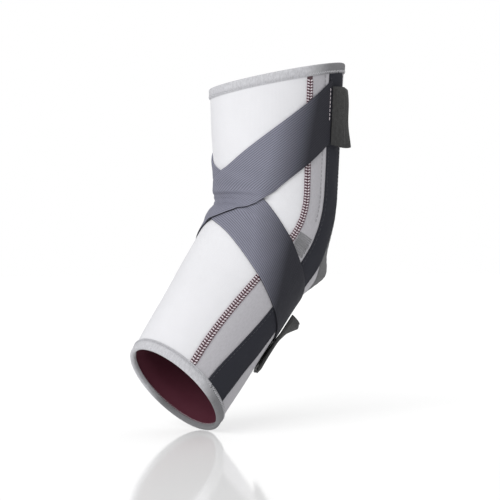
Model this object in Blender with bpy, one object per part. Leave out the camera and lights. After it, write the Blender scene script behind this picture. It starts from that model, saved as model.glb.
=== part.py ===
"""Elbow support sleeve with two crossing straps, modelled as its sewn pieces.

Frame, in metres: the origin is on the elbow's flexion axis, where the centre lines of
the upper arm and the forearm meet. +Z runs up the upper arm, +X is the back of the
elbow, -X the crease, -Y the outer (lateral) side and +Y the inner (medial) side. The
sleeve is modelled at its resting bend.

Every piece is a flat slab that is wrapped onto the sleeve. A place on the sleeve has
three coordinates: the distance along its centre line (up the arm is positive), the
angle round it in degrees (0 back, -90 lateral, 180 or -180 front) and the height above
the outer face of the panels.
"""

import math

import bmesh
import bpy
from mathutils import Vector

# ---------------------------------------------------------------- sleeve dimensions
UPPER_LENGTH = 0.1155
FOREARM_LENGTH = 0.158
REST_BEND = 35.5
BEND_RADIUS = 0.0676
TOP_HALF_DEPTH = 0.0561
TOP_HALF_WIDTH = 0.0490
ELBOW_HALF_DEPTH = 0.0503
ELBOW_HALF_WIDTH = 0.0438
CUFF_HALF_DEPTH = 0.0433
CUFF_HALF_WIDTH = 0.0360
TOP_RISE_BACK = 0.0121
TOP_RISE_LATERAL = 0.0024
CUFF_REACH_BACK = 0.0090
CUFF_REACH_MEDIAL = 0.0050

# the crease is drawn in by the straps, and the elbow pad pushes the cup out
CREASE_PINCH = 0.0055
CREASE_AT = 0.004
CREASE_SPREAD = 0.020
CREASE_ANGLE_SPREAD = 50.0
CUP_BULGE = 0.020
CUP_AT = -0.023
CUP_SPREAD = 0.0095
CUP_ANGLE_SPREAD = 20.0
CUP_LEAN = 45.0

# ---------------------------------------------------------------- layers, as heights
GAP = 0.0003
EDGE_GAP = 0.0005
PANEL_THICKNESS = 0.0022
SIDE_PANEL_THICKNESS = 0.0009
CUP_THICKNESS = 0.0018
LINING_CLEARANCE = 0.0007
LINING_OUTER = -PANEL_THICKNESS - LINING_CLEARANCE
LINING_THICKNESS = 0.0007
TAPE_RISE = 0.0004
SEAM_RISE = 0.0005
STRAP_CLEARANCE = 0.0009
STRAP_THICKNESS = 0.0012
STRAP_CROSSING_GAP = 0.0016
PATCH_THICKNESS = 0.0007
HOOK_THICKNESS = 0.0009
PAD_THICKNESS = 0.0012
BINDING_THICKNESS = 0.0008
BINDING_CLEARANCE = 0.0011
STAY_THICKNESS = 0.0011
STAY_TOP = -SIDE_PANEL_THICKNESS - GAP

# ---------------------------------------------------------------- widths and lengths
BINDING_WIDTH = 0.0083
BINDING_INNER_WIDTH = 0.0070
SEAM_WIDTH = 0.0055
TAPE_WIDTH = 0.025
STRAP_WIDTH = 0.038
STAY_WIDTH = 0.006
STAY_END_MARGIN = 0.014
STAY_CAP_LENGTH = 0.007
CUSHION_HALF_ANGLE = 30.0
CUSHION_HALF_LENGTH = 0.0128
CUSHION_CLEARANCE = 0.0013
CUSHION_OVER_LINING = 0.0006
LOOP_PATCH_MARGIN = 0.002
BARTACK_LOW = -0.023
BARTACK_HIGH = -0.012
BARTACK_REAR_ANGLE = 74.0
BARTACK_FRONT_ANGLE = 87.5
BARTACK_THICKNESS = 0.0004
BARTACK_CLEARANCE = 0.00024
ANCHOR_HALF_LENGTH = 0.024
ANCHOR_HALF_ANGLE = 9.0

# ---------------------------------------------------------------- lines round the sleeve
SEAM_ANGLE = 92.5
SEAM_TURN = 20.0
SEAM_TURN_START = -0.010
SEAM_TURN_LENGTH = 0.145
TAPE_ANGLE = 71.0
TAPE_TURN = 21.0
TAPE_TURN_START = 0.060
TAPE_TURN_LENGTH = 0.100
TAPE_RUNOUT_ANGLE = 17.0

# the rigid upper and forearm panels stop short of the crease, so that the fabric between
# them can fold
CREASE_SPAN_ANGLE = 40.5
REAR_SPAN_ANGLE = 17.0
SIDE_SPAN = 0.005
GUSSET_TOP = 0.006
GUSSET_BOTTOM = -0.027
CUP_TOP_SIDE = 0.008
CUP_TOP_RISE = 0.016
CUP_BOTTOM_SIDE = -0.012
CUP_BOTTOM_DROP = 0.034

# each strap leaves its hook tab at a place (angle, along) and runs straight on over the
# sleeve to the anchor on the inner side, where it is cut off
STRAP_TOP_MARGIN = 0.0123
OUTER_STRAP_START = (-69.0, UPPER_LENGTH - STRAP_TOP_MARGIN - STRAP_WIDTH / 2)
OUTER_STRAP_END = -0.0508
INNER_STRAP_START = (-26.0, -0.0647)
INNER_STRAP_END_MARGIN = 0.0457
INNER_STRAP_END = UPPER_LENGTH - INNER_STRAP_END_MARGIN
STRAP_LAST_ANGLE = -284.0
STRAP_STEEPEST = 55.0
STRAP_ROOM = 0.022
STRAP_REACH = 0.340
CROSSING_ANGLE = -178.0
CROSSING_REACH = 50.0
CROSSING_RAMP = 15.0

# hook tabs: root angle, free-end angle, lower and upper edge along the sleeve
UPPER_TAB_ROOT = -69.5
UPPER_TAB_END = -46.0
UPPER_TAB_MARGIN = 0.0122
UPPER_TAB_WIDTH = 0.0455
UPPER_TAB_HIGH = UPPER_LENGTH - UPPER_TAB_MARGIN
UPPER_TAB_LOW = UPPER_TAB_HIGH - UPPER_TAB_WIDTH
UPPER_TAB_LIFT_LOW = 0.0075
UPPER_TAB_LIFT_HIGH = 0.003
UPPER_TAB_SAG = 0.0
UPPER_LOOP_MARGIN = 4.0
UPPER_LOOP_END = 4.0
LOWER_TAB_ROOT = -31.0
LOWER_TAB_END = -4.0
LOWER_TAB_LOW = -0.109
LOWER_TAB_HIGH = -0.059
LOWER_TAB_LIFT_LOW = 0.003
LOWER_TAB_LIFT_HIGH = 0.016
LOWER_TAB_SAG = 0.0075
LOWER_LOOP_MARGIN = 19.0
LOWER_LOOP_END = 15.0
LOOP_CLEARANCE = 0.0005
TAB_ROOT_OVERLAP = 7.5
HOOK_RIM = 9.0
TAB_FLARE = 0.12
TAB_NOSE = 0.12
TAB_CURL = 1.1

# ---------------------------------------------------------------- mesh fineness
ROUND_STEP = 12.0
LONG_STEP = 0.010
STRAP_STEP = 0.0062
STRAP_ROWS = 8
ROUTE_STEP = 0.002
FRONT_COLUMNS = 16
REAR_COLUMNS = 8
WALK_STEPS = 4

LATERAL = -1
MEDIAL = 1


def clamp01(value):
    return min(1.0, max(0.0, value))


def smooth(value):
    value = clamp01(value)
    return value * value * (3 - 2 * value)


def mix(a, b, share):
    return a + (b - a) * share


def bell(distance, spread):
    return math.exp(-((distance / spread) ** 2) / 2)


# ---------------------------------------------------------------- the sleeve's surface
def centre_line(along):
    """The centre line's point, and its outward (back) and upward directions, in the XZ plane."""
    bend = math.radians(REST_BEND)
    half_arc = BEND_RADIUS * bend / 2
    tangent_length = BEND_RADIUS * math.tan(bend / 2)
    turned = clamp01((half_arc - along) / (2 * half_arc)) * bend
    outward = Vector((math.cos(turned), 0, -math.sin(turned)))
    upward = Vector((math.sin(turned), 0, math.cos(turned)))
    if along >= half_arc:
        point = Vector((0, 0, tangent_length + along - half_arc))
    else:
        arc_centre = Vector((-BEND_RADIUS, 0, tangent_length))
        point = arc_centre + outward * BEND_RADIUS
        if along < -half_arc:
            point = point + upward * (along + half_arc)
    return point, outward, upward


def half_axes(along):
    if along > 0:
        share = along / UPPER_LENGTH
        return (
            mix(ELBOW_HALF_DEPTH, TOP_HALF_DEPTH, share),
            mix(ELBOW_HALF_WIDTH, TOP_HALF_WIDTH, share),
        )
    share = -along / FOREARM_LENGTH
    return (
        mix(ELBOW_HALF_DEPTH, CUFF_HALF_DEPTH, share),
        mix(ELBOW_HALF_WIDTH, CUFF_HALF_WIDTH, share),
    )


def turn_from(angle, middle):
    """How many degrees an angle is away from another, the short way round."""
    return (angle - middle + 180) % 360 - 180


def surface(along, angle, height=0.0, bulge=CUP_BULGE):
    """The point of the sleeve at a place along it, an angle round it and a height above it."""
    point, outward, upward = centre_line(along)
    depth, width = half_axes(along)
    turn = math.radians(angle)
    pinch = CREASE_PINCH * bell(along - CREASE_AT, CREASE_SPREAD)
    pinch *= bell(turn_from(angle, 180), CREASE_ANGLE_SPREAD)
    pushed = bulge * bell(along - CUP_AT, CUP_SPREAD)
    pushed *= bell(turn_from(angle, 0), CUP_ANGLE_SPREAD)
    lean = math.radians(CUP_LEAN)
    return (
        point
        + outward * ((depth + height - pinch) * math.cos(turn) + pushed * math.cos(lean))
        + upward * pushed * math.sin(lean)
        + Vector((0, (width + height) * math.sin(turn), 0))
    )


def degrees_for(length, along, angle):
    """The angle that a length round the sleeve covers at this place."""
    depth, width = half_axes(along)
    turn = math.radians(angle)
    radius = math.hypot(depth * math.sin(turn), width * math.cos(turn))
    return math.degrees(length / radius)


def top_edge(angle):
    turn = math.radians(angle)
    return UPPER_LENGTH + TOP_RISE_BACK * math.cos(turn) - TOP_RISE_LATERAL * math.sin(turn)


def cuff_edge(angle):
    turn = math.radians(angle)
    reach = CUFF_REACH_BACK * math.cos(turn) + CUFF_REACH_MEDIAL * math.sin(turn)
    return -(FOREARM_LENGTH + reach)


def fold_heights():
    """The middle and the outer radius of the fold that a binding makes round an edge."""
    outer = BINDING_CLEARANCE + BINDING_THICKNESS
    inner = LINING_OUTER - LINING_THICKNESS - GAP - BINDING_THICKNESS
    return (outer + inner) / 2, (outer - inner) / 2


def edge_inset():
    """How far the layers stop below the outside of the binding's fold."""
    return fold_heights()[1] - GAP * 2


def panel_top(angle):
    return top_edge(angle) - edge_inset()


def panel_cuff(angle):
    return cuff_edge(angle) + edge_inset()


# ---------------------------------------------------------------- lines between pieces
def seam_line(along):
    """The flatlock seam's angle away from the back, the same on both sides."""
    return SEAM_ANGLE + SEAM_TURN * smooth((-along - SEAM_TURN_START) / SEAM_TURN_LENGTH)


def seam_side(along, side):
    """One edge of the seam: side 1 is its front edge, -1 its rear edge."""
    middle = seam_line(along)
    return middle + side * degrees_for(SEAM_WIDTH / 2, along, middle)


def tape_front(along):
    return TAPE_ANGLE + TAPE_TURN * smooth((-along - TAPE_TURN_START) / TAPE_TURN_LENGTH)


def tape_rear(along):
    front = tape_front(along)
    return front - degrees_for(TAPE_WIDTH, along, front - TAPE_RUNOUT_ANGLE)


def gap_angle(along, angle):
    return degrees_for(EDGE_GAP, along, angle)


def crease_span(angle):
    """How far above and below the bend's middle the limb's panels and linings stop."""
    forwards = -math.cos(math.radians(angle))
    opening = CREASE_SPAN_ANGLE if forwards > 0 else REAR_SPAN_ANGLE
    return SIDE_SPAN + ELBOW_HALF_DEPTH * abs(forwards) * math.tan(math.radians(opening))


def cup_top(angle):
    arch = max(0.0, math.cos(math.radians(2 * angle)))
    return CUP_TOP_SIDE + CUP_TOP_RISE * arch


def cup_bottom(angle):
    arch = max(0.0, math.cos(math.radians(2 * angle)))
    return CUP_BOTTOM_SIDE - CUP_BOTTOM_DROP * arch


# ---------------------------------------------------------------- wrapping slabs
def material(name, colour, roughness, metallic=0.0):
    made = bpy.data.materials.get(name)
    if made is None:
        made = bpy.data.materials.new(name)
        made.use_nodes = True
        shader = made.node_tree.nodes["Principled BSDF"]
        shader.inputs["Base Color"].default_value = (*colour, 1)
        shader.inputs["Roughness"].default_value = roughness
        shader.inputs["Metallic"].default_value = metallic
    return made


def slab_mesh(bm, columns, rows, place, closed=False):
    """Adds a slab of columns by rows cells, whose corners place(column, row, side) puts in space.

    Side 0 is its outer face and side 1 its inner face. A closed slab's first and last
    columns meet, so its two end faces go and the columns are welded.
    """
    before = set(bm.verts)
    made = bmesh.ops.create_grid(bm, x_segments=columns, y_segments=rows, size=0.5)
    sheet = list({face for vert in made["verts"] for face in vert.link_faces})
    lifted = bmesh.ops.extrude_face_region(bm, geom=sheet)["geom"]
    lifted = [item for item in lifted if isinstance(item, bmesh.types.BMVert)]
    bmesh.ops.translate(bm, verts=lifted, vec=(0, 0, 1))
    corners = [vert for vert in bm.verts if vert not in before]
    faces = list({face for vert in corners for face in vert.link_faces})
    bmesh.ops.recalc_face_normals(bm, faces=faces)
    start = place(0, 0, 0)
    right_handed = (place(1, 0, 0) - start).cross(place(0, 1, 0) - start)
    if right_handed.dot(place(0, 0, 1) - start) < 0:
        bmesh.ops.reverse_faces(bm, faces=faces)
    if closed:
        ends = [
            face
            for face in faces
            if all(vert.co.x < -0.499 for vert in face.verts)
            or all(vert.co.x > 0.499 for vert in face.verts)
        ]
        bmesh.ops.delete(bm, geom=ends, context="FACES")
        corners = [vert for vert in corners if vert.is_valid]
    for vert in corners:
        column = round((vert.co.x + 0.5) * columns)
        row = round((vert.co.y + 0.5) * rows)
        vert.co = place(column, row, round(vert.co.z))
    if closed:
        bmesh.ops.remove_doubles(bm, verts=corners, dist=1e-6)


def finish_piece(name, bm, finish, pivot=None):
    """Turns a finished bmesh into the piece's object, with its origin on the pivot if it moves."""
    if pivot is not None:
        bmesh.ops.translate(bm, verts=bm.verts, vec=-pivot)
    mesh = bpy.data.meshes.new(name)
    bm.to_mesh(mesh)
    bm.free()
    mesh.shade_smooth()
    mesh.set_sharp_from_angle(angle=math.radians(40))
    mesh.materials.append(finish)
    piece = bpy.data.objects.new(name, mesh)
    bpy.context.scene.collection.objects.link(piece)
    if pivot is not None:
        piece.location = pivot
    return piece


def slab(name, columns, rows, place, finish, closed=False, pivot=None):
    bm = bmesh.new()
    slab_mesh(bm, columns, rows, place, closed)
    return finish_piece(name, bm, finish, pivot)


def settled_place(across, up, first_angle, last_angle, low, high):
    """The place at these shares of a patch whose side edges and ends both curve."""
    along = (low(0) + high(0)) / 2
    for _ in range(12):
        angle = mix(first_angle(along), last_angle(along), across)
        along = mix(low(angle), high(angle), up)
    return along, angle


def patch(
    name,
    edges,
    ends,
    heights,
    finish,
    columns=None,
    rows=None,
    bulge=CUP_BULGE,
    inner_bulge=None,
):
    """A shell piece between two edge lines and two end lines.

    edges are functions of the distance along the sleeve, ends are functions of the angle,
    and heights are those of its outer and inner face. Pieces that meet end to end have the
    same number of columns, so that their edges run side by side.
    """
    first_angle, last_angle = edges
    low, high = ends
    middle = (low(first_angle(0)) + high(first_angle(0))) / 2
    if columns is None:
        wide = abs(last_angle(middle) - first_angle(middle))
        columns = max(1, math.ceil(wide / ROUND_STEP))
    angle_middle = (first_angle(middle) + last_angle(middle)) / 2
    if rows is None:
        rows = max(2, math.ceil((high(angle_middle) - low(angle_middle)) / LONG_STEP))
    bulges = (bulge, bulge if inner_bulge is None else inner_bulge)

    def place(column, row, side):
        along, angle = settled_place(
            column / columns, row / rows, first_angle, last_angle, low, high
        )
        return surface(along, angle, heights[side], bulges[side])

    return slab(name, columns, rows, place, finish)


# ---------------------------------------------------------------- outer shell
def front_edges():
    def lateral_edge(along):
        front = seam_side(along, 1)
        return -(front + gap_angle(along, front))

    def medial_edge(along):
        front = seam_side(along, 1)
        return -360 + front + gap_angle(along, front)

    return lateral_edge, medial_edge


def side_edges(side):
    """The side panel lies between the tape and the flatlock seam."""

    def at_tape(along):
        front = tape_front(along)
        return side * (front + gap_angle(along, front))

    def at_seam(along):
        rear = seam_side(along, -1)
        return side * (rear - gap_angle(along, rear))

    return at_tape, at_seam


def rear_edges():
    def at_tape(side):
        def edge(along):
            rear = tape_rear(along)
            return side * (rear - gap_angle(along, rear))

        return edge

    return at_tape(LATERAL), at_tape(MEDIAL)


def above_crease(angle):
    return crease_span(angle) + GAP


def below_crease(angle):
    return -crease_span(angle) - GAP


def crease_top(angle):
    return crease_span(angle) - GAP


def crease_bottom(angle):
    return -crease_span(angle) + GAP


def make_panels(finishes):
    white, grey, mesh_knit = finishes["white"], finishes["grey"], finishes["mesh_knit"]
    full = (0.0, -PANEL_THICKNESS)
    thin = (0.0, -SIDE_PANEL_THICKNESS)

    for name, ends, finish, rows in (
        ("upper_front_panel", (above_crease, panel_top), white, None),
        ("forearm_front_panel", (panel_cuff, below_crease), white, None),
        ("crease_insert", (crease_bottom, crease_top), mesh_knit, 8),
    ):
        patch(name, front_edges(), ends, full, finish, columns=FRONT_COLUMNS, rows=rows)
    for side, word in ((LATERAL, "lateral"), (MEDIAL, "medial")):
        edges = side_edges(side)
        patch(
            f"upper_{word}_panel",
            edges,
            (lambda angle: GUSSET_TOP + GAP / 2, panel_top),
            thin,
            grey,
        )
        patch(
            f"{word}_elbow_gusset",
            edges,
            (lambda angle: GUSSET_BOTTOM + GAP / 2, lambda angle: GUSSET_TOP - GAP / 2),
            thin,
            grey,
            rows=4,
        )
        patch(
            f"forearm_{word}_panel",
            edges,
            (panel_cuff, lambda angle: GUSSET_BOTTOM - GAP / 2),
            thin,
            grey,
        )
    patch(
        "upper_rear_panel",
        rear_edges(),
        (lambda angle: cup_top(angle) + GAP, panel_top),
        full,
        grey,
        columns=REAR_COLUMNS,
    )
    patch(
        "forearm_rear_panel",
        rear_edges(),
        (panel_cuff, lambda angle: cup_bottom(angle) - GAP),
        full,
        grey,
        columns=REAR_COLUMNS,
        rows=18,
    )
    patch(
        "elbow_cup",
        rear_edges(),
        (lambda angle: cup_bottom(angle) + GAP, lambda angle: cup_top(angle) - GAP),
        (0.0, -CUP_THICKNESS),
        finishes["cup_knit"],
        columns=REAR_COLUMNS,
        rows=16,
    )


def make_cushion(finish):
    """The foam pad fills the space between the bulged cup and the flat lining behind it."""
    outer = -CUP_THICKNESS - CUSHION_CLEARANCE
    inner = LINING_OUTER + CUSHION_OVER_LINING

    def half_length(angle):
        return CUSHION_HALF_LENGTH * math.cos(math.radians(angle * 60 / CUSHION_HALF_ANGLE))

    patch(
        "elbow_cushion",
        (lambda along: -CUSHION_HALF_ANGLE, lambda along: CUSHION_HALF_ANGLE),
        (
            lambda angle: CUP_AT - half_length(angle),
            lambda angle: CUP_AT + half_length(angle),
        ),
        (outer, inner),
        finish,
        rows=12,
        inner_bulge=0.0,
    )


def ring(name, low, high, heights, finish, rows, fold=None):
    """A piece that goes all the way round. fold, if given, places a row and a side of it."""
    columns = round(360 / ROUND_STEP)

    def place(column, row, side):
        angle = -180 + 360 * column / columns
        if fold is not None:
            along, height = fold(angle, row, side)
        else:
            along, height = mix(low(angle), high(angle), row / rows), heights[side]
        return surface(along, angle, height, 0.0)

    return slab(name, columns, rows, place, finish, closed=True)


def make_linings(finish):
    heights = (LINING_OUTER, LINING_OUTER - LINING_THICKNESS)

    ring("upper_lining", above_crease, panel_top, heights, finish, rows=2)
    ring("forearm_lining", panel_cuff, below_crease, heights, finish, rows=3)
    ring("elbow_lining", crease_bottom, crease_top, heights, finish, rows=8)


def make_bindings(finish):
    """A binding is a knit strip folded round the edge of the panels and the lining."""
    middle, radius = fold_heights()
    turns = 4

    def folded(edge, inwards):
        def fold(angle, row, side):
            reach = radius - BINDING_THICKNESS * side
            if row == 0:
                down, height = BINDING_WIDTH, middle + reach
            elif row == turns + 2:
                down, height = BINDING_INNER_WIDTH, middle - reach
            else:
                turn = math.pi * (row - 1) / turns
                down = radius - reach * math.sin(turn)
                height = middle + reach * math.cos(turn)
            return edge(angle) + inwards * down, height

        return fold

    rows = turns + 2
    ring("top_binding", None, None, None, finish, rows, folded(top_edge, -1))
    ring("cuff_binding", None, None, None, finish, rows, folded(cuff_edge, 1))


def long_strip(
    name, side, first, last, heights, finish, low=panel_cuff, high=panel_top, steps=36
):
    """A strip that runs along the sleeve on one side, between two angle lines."""
    columns = 2

    def place(column, row, face):
        along, angle = settled_place(
            column / columns,
            row / steps,
            lambda here: side * first(here),
            lambda here: side * last(here),
            low,
            high,
        )
        return surface(along, angle, heights[face])

    return slab(name, columns, steps, place, finish)


def stay_middle(along):
    return (tape_front(along) + seam_side(along, -1)) / 2


def stay_low(angle):
    return cuff_edge(angle) + STAY_END_MARGIN


def stay_high(angle):
    return top_edge(angle) - STAY_END_MARGIN


def stay_side(way, width):
    def edge(along):
        middle = stay_middle(along)
        return middle + way * degrees_for(width / 2, along, middle)

    return edge


def make_long_strips(finishes):
    inset = GAP / 2
    for side, word in ((LATERAL, "lateral"), (MEDIAL, "medial")):
        long_strip(
            f"{word}_edge_tape",
            side,
            tape_front,
            tape_rear,
            (TAPE_RISE, -SIDE_PANEL_THICKNESS),
            finishes["tape"],
        )
        long_strip(
            f"{word}_flatlock_seam",
            side,
            lambda along: seam_side(along, -1) + inset,
            lambda along: seam_side(along, 1) - inset,
            (SEAM_RISE, -SIDE_PANEL_THICKNESS),
            finishes["thread"],
        )
        long_strip(
            f"{word}_spiral_stay",
            side,
            stay_side(-1, STAY_WIDTH),
            stay_side(1, STAY_WIDTH),
            (STAY_TOP, STAY_TOP - STAY_THICKNESS),
            finishes["steel"],
            lambda angle: stay_low(angle) + STAY_CAP_LENGTH,
            lambda angle: stay_high(angle) - STAY_CAP_LENGTH,
        )


def make_stay_caps(finish):
    """Moulded caps butt against both ends of each spiral stay."""
    for side, word in ((LATERAL, "lateral"), (MEDIAL, "medial")):
        for level, low, high in (
            ("upper", lambda angle: stay_high(angle) - STAY_CAP_LENGTH + GAP, stay_high),
            ("lower", stay_low, lambda angle: stay_low(angle) + STAY_CAP_LENGTH - GAP),
        ):
            long_strip(
                f"{word}_stay_{level}_cap",
                side,
                stay_side(-1, STAY_WIDTH),
                stay_side(1, STAY_WIDTH),
                (STAY_TOP, STAY_TOP - STAY_THICKNESS),
                finish,
                low,
                high,
                steps=2,
            )


# ---------------------------------------------------------------- straps
def slopes(along, angle):
    """The surface's tangents: per metre along the sleeve, and per degree round it."""
    little, turn = 0.0005, 0.5
    lengthwise = surface(along + little, angle) - surface(along - little, angle)
    roundwise = surface(along, angle + turn) - surface(along, angle - turn)
    return lengthwise / (2 * little), roundwise / (2 * turn)


def step_on(along, angle, heading, distance):
    """Goes a short distance over the surface in a heading: the new place and heading."""
    lengthwise, roundwise = slopes(along, angle)
    normal = lengthwise.cross(roundwise).normalized()
    heading = (heading - normal * heading.dot(normal)).normalized()
    ll, lr, rr = (
        lengthwise.dot(lengthwise),
        lengthwise.dot(roundwise),
        roundwise.dot(roundwise),
    )
    hl, hr = heading.dot(lengthwise), heading.dot(roundwise)
    spread = ll * rr - lr * lr
    along += distance * (hl * rr - hr * lr) / spread
    angle += distance * (hr * ll - hl * lr) / spread
    return along, angle, heading


def strap_route(start, slope):
    """Places and headings all along a strap's middle line, which runs straight on the sleeve.

    It begins a little behind the start and goes past the last angle, so that both ends
    can be cut square to the rings.
    """
    angle, along = start
    lengthwise, roundwise = slopes(along, angle)
    forwards = -roundwise.normalized()
    upwards = (lengthwise - forwards * lengthwise.dot(forwards)).normalized()
    turn = math.radians(slope)
    heading = forwards * math.cos(turn) + upwards * math.sin(turn)
    for _ in range(WALK_STEPS):
        along, angle, heading = step_on(along, angle, heading, -STRAP_ROOM / WALK_STEPS)
    route = [(along, angle, heading)]
    for _ in range(round(STRAP_REACH / ROUTE_STEP)):
        along, angle, heading = step_on(along, angle, heading, ROUTE_STEP)
        route.append((along, angle, heading))
    return route


def middle_at(route, distance):
    """The middle line's place and heading at a distance along the route."""
    at = distance / ROUTE_STEP
    first = min(max(int(at), 0), len(route) - 2)
    share = at - first
    before, after = route[first], route[first + 1]
    return tuple(mix(a, b, share) for a, b in zip(before, after, strict=True))


def cut_at(route, across, last_angle):
    """How far along the route the strap's line at this distance across passes an angle."""
    near, far = 0.0, STRAP_REACH
    for _ in range(16):
        middle = (near + far) / 2
        if strap_place(middle_at(route, middle), across)[1] > last_angle:
            near = middle
        else:
            far = middle
    return near


def strap_place(middle, across):
    """The place at a distance across the strap from its middle line, upwards if positive."""
    along, angle, ahead = middle
    lengthwise, roundwise = slopes(along, angle)
    aside = lengthwise.cross(roundwise).normalized().cross(ahead).normalized()
    if aside.dot(lengthwise) < 0:
        aside = -aside
    for _ in range(WALK_STEPS):
        along, angle, aside = step_on(along, angle, aside, across / WALK_STEPS)
    return along, angle


def strap_height(angle, crossing):
    """The outer strap climbs over the inner one where they cross."""
    if not crossing:
        return STRAP_CLEARANCE
    away = abs(turn_from(angle, CROSSING_ANGLE))
    share = smooth((CROSSING_REACH + CROSSING_RAMP - away) / CROSSING_RAMP)
    return STRAP_CLEARANCE + (STRAP_THICKNESS + STRAP_CROSSING_GAP) * share


def aimed_route(start, end_along):
    """The route whose middle line is at this distance along the sleeve where it is cut off."""
    low, high = -STRAP_STEEPEST, STRAP_STEEPEST
    for _ in range(18):
        slope = (low + high) / 2
        route = strap_route(start, slope)
        if middle_at(route, cut_at(route, 0.0, STRAP_LAST_ANGLE))[0] < end_along:
            low = slope
        else:
            high = slope
    return route


def strap(name, start, end_along, crossing, finish):
    """A strap of webbing, from its start to where its middle line is cut off."""
    route = aimed_route(start, end_along)
    rows = STRAP_ROWS
    lines = []
    for row in range(rows + 1):
        across = STRAP_WIDTH * (row / rows - 0.5)
        first = cut_at(route, across, start[0])
        last = cut_at(route, across, STRAP_LAST_ANGLE)
        lines.append((across, first, last))
    columns = round((lines[0][2] - lines[0][1]) / STRAP_STEP)

    def place(column, row, side):
        across, first, last = lines[row]
        middle = middle_at(route, mix(first, last, column / columns))
        along, angle = strap_place(middle, across)
        height = strap_height(angle, crossing) + STRAP_THICKNESS * (1 - side)
        return surface(along, angle, height)

    slab(name, columns, rows, place, finish)


def make_anchor(name, end_along, finish):
    """A patch sewn over the inner end of a strap, on the medial tape."""
    low = STRAP_CLEARANCE + STRAP_THICKNESS + GAP
    patch(
        name,
        (
            lambda along: STRAP_LAST_ANGLE - ANCHOR_HALF_ANGLE,
            lambda along: STRAP_LAST_ANGLE + ANCHOR_HALF_ANGLE,
        ),
        (
            lambda angle: end_along - ANCHOR_HALF_LENGTH,
            lambda angle: end_along + ANCHOR_HALF_LENGTH,
        ),
        (low + PATCH_THICKNESS, low),
        finish,
    )


def make_straps(finish):
    strap("outer_cross_strap", OUTER_STRAP_START, OUTER_STRAP_END, True, finish)
    strap("inner_cross_strap", INNER_STRAP_START, INNER_STRAP_END, False, finish)
    make_anchor("lower_strap_anchor", OUTER_STRAP_END, finish)
    make_anchor("upper_strap_anchor", INNER_STRAP_END, finish)


# ---------------------------------------------------------------- hook tabs
def tab_lift(share, up, lift_low, lift_high, sag):
    """How far the tab stands off the sleeve: most at the corners of its free end."""
    return (mix(lift_low, lift_high, up) - sag * 4 * up * (1 - up)) * share**TAB_CURL


def tab_layer(name, limits, lifts, span, base, thickness, pivot, finish):
    """One layer of a tab between two angles. It widens and its free corners are drawn in."""
    first, last = span
    root, end, low, high = limits
    columns, rows = 6, 6

    def place(column, row, side):
        angle = mix(first, last, column / columns)
        share = clamp01((angle - root) / (end - root))
        widening = 1 + TAB_FLARE * share - TAB_NOSE * share**4
        up = 0.5 + (row / rows - 0.5) * widening
        along = mix(low, high, up)
        height = base + thickness * (1 - side) + tab_lift(share, up, *lifts)
        return surface(along, angle, height, 0.0)

    return slab(name, columns, rows, place, finish, pivot=pivot)


def tab_hinge(limits):
    """The hinge line at a tab's sewn root: a point on it and its direction up the arm."""
    root, _, low, high = limits
    height = STRAP_CLEARANCE + STRAP_THICKNESS + GAP
    bottom = surface(low, root, height, 0.0)
    top = surface(high, root, height, 0.0)
    return (bottom + top) / 2, (top - bottom).normalized()


def make_tabs(finishes):
    pad_base = STRAP_CLEARANCE + STRAP_THICKNESS + GAP
    hook_base = pad_base - GAP - HOOK_THICKNESS
    for word, limits, lifts in (
        (
            "upper",
            (UPPER_TAB_ROOT, UPPER_TAB_END, UPPER_TAB_LOW, UPPER_TAB_HIGH),
            (UPPER_TAB_LIFT_LOW, UPPER_TAB_LIFT_HIGH, UPPER_TAB_SAG),
        ),
        (
            "lower",
            (LOWER_TAB_ROOT, LOWER_TAB_END, LOWER_TAB_LOW, LOWER_TAB_HIGH),
            (LOWER_TAB_LIFT_LOW, LOWER_TAB_LIFT_HIGH, LOWER_TAB_SAG),
        ),
    ):
        pivot, _ = tab_hinge(limits)
        root, end = limits[:2]
        tab_layer(
            f"{word}_tab_pad",
            limits,
            lifts,
            (root, end - HOOK_RIM),
            pad_base,
            PAD_THICKNESS,
            pivot,
            finishes["velour"],
        )
        tab_layer(
            f"{word}_tab_hook",
            limits,
            lifts,
            (root + TAB_ROOT_OVERLAP, end),
            hook_base,
            HOOK_THICKNESS,
            pivot,
            finishes["hook"],
        )


def make_loop_patches(finish):
    """Velour patches on the rear panels that the hook tabs fasten to."""
    for word, margin, end, low, high in (
        ("upper", UPPER_LOOP_MARGIN, UPPER_LOOP_END, UPPER_TAB_LOW, UPPER_TAB_HIGH),
        ("lower", LOWER_LOOP_MARGIN, LOWER_LOOP_END, LOWER_TAB_LOW, LOWER_TAB_HIGH),
    ):
        patch(
            f"{word}_loop_patch",
            (
                lambda along, a=margin: a - tape_rear(along),
                lambda along, a=end: a,
            ),
            (
                lambda angle, a=low: a + LOOP_PATCH_MARGIN,
                lambda angle, a=high: a - LOOP_PATCH_MARGIN,
            ),
            (LOOP_CLEARANCE + PATCH_THICKNESS, LOOP_CLEARANCE),
            finish,
        )


def make_bartacks(finish):
    """Dense tack rows across the side gussets, where the stay channels pass the elbow."""
    for side, word in ((LATERAL, "lateral"), (MEDIAL, "medial")):
        patch(
            f"{word}_bartack",
            (
                lambda along, a=side * BARTACK_REAR_ANGLE: a,
                lambda along, a=side * BARTACK_FRONT_ANGLE: a,
            ),
            (lambda angle: BARTACK_LOW, lambda angle: BARTACK_HIGH),
            (BARTACK_CLEARANCE + BARTACK_THICKNESS, BARTACK_CLEARANCE),
            finish,
            rows=3,
        )


# ---------------------------------------------------------------- the whole sleeve
def clear_scene():
    for old in list(bpy.data.objects):
        bpy.data.objects.remove(old)


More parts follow.
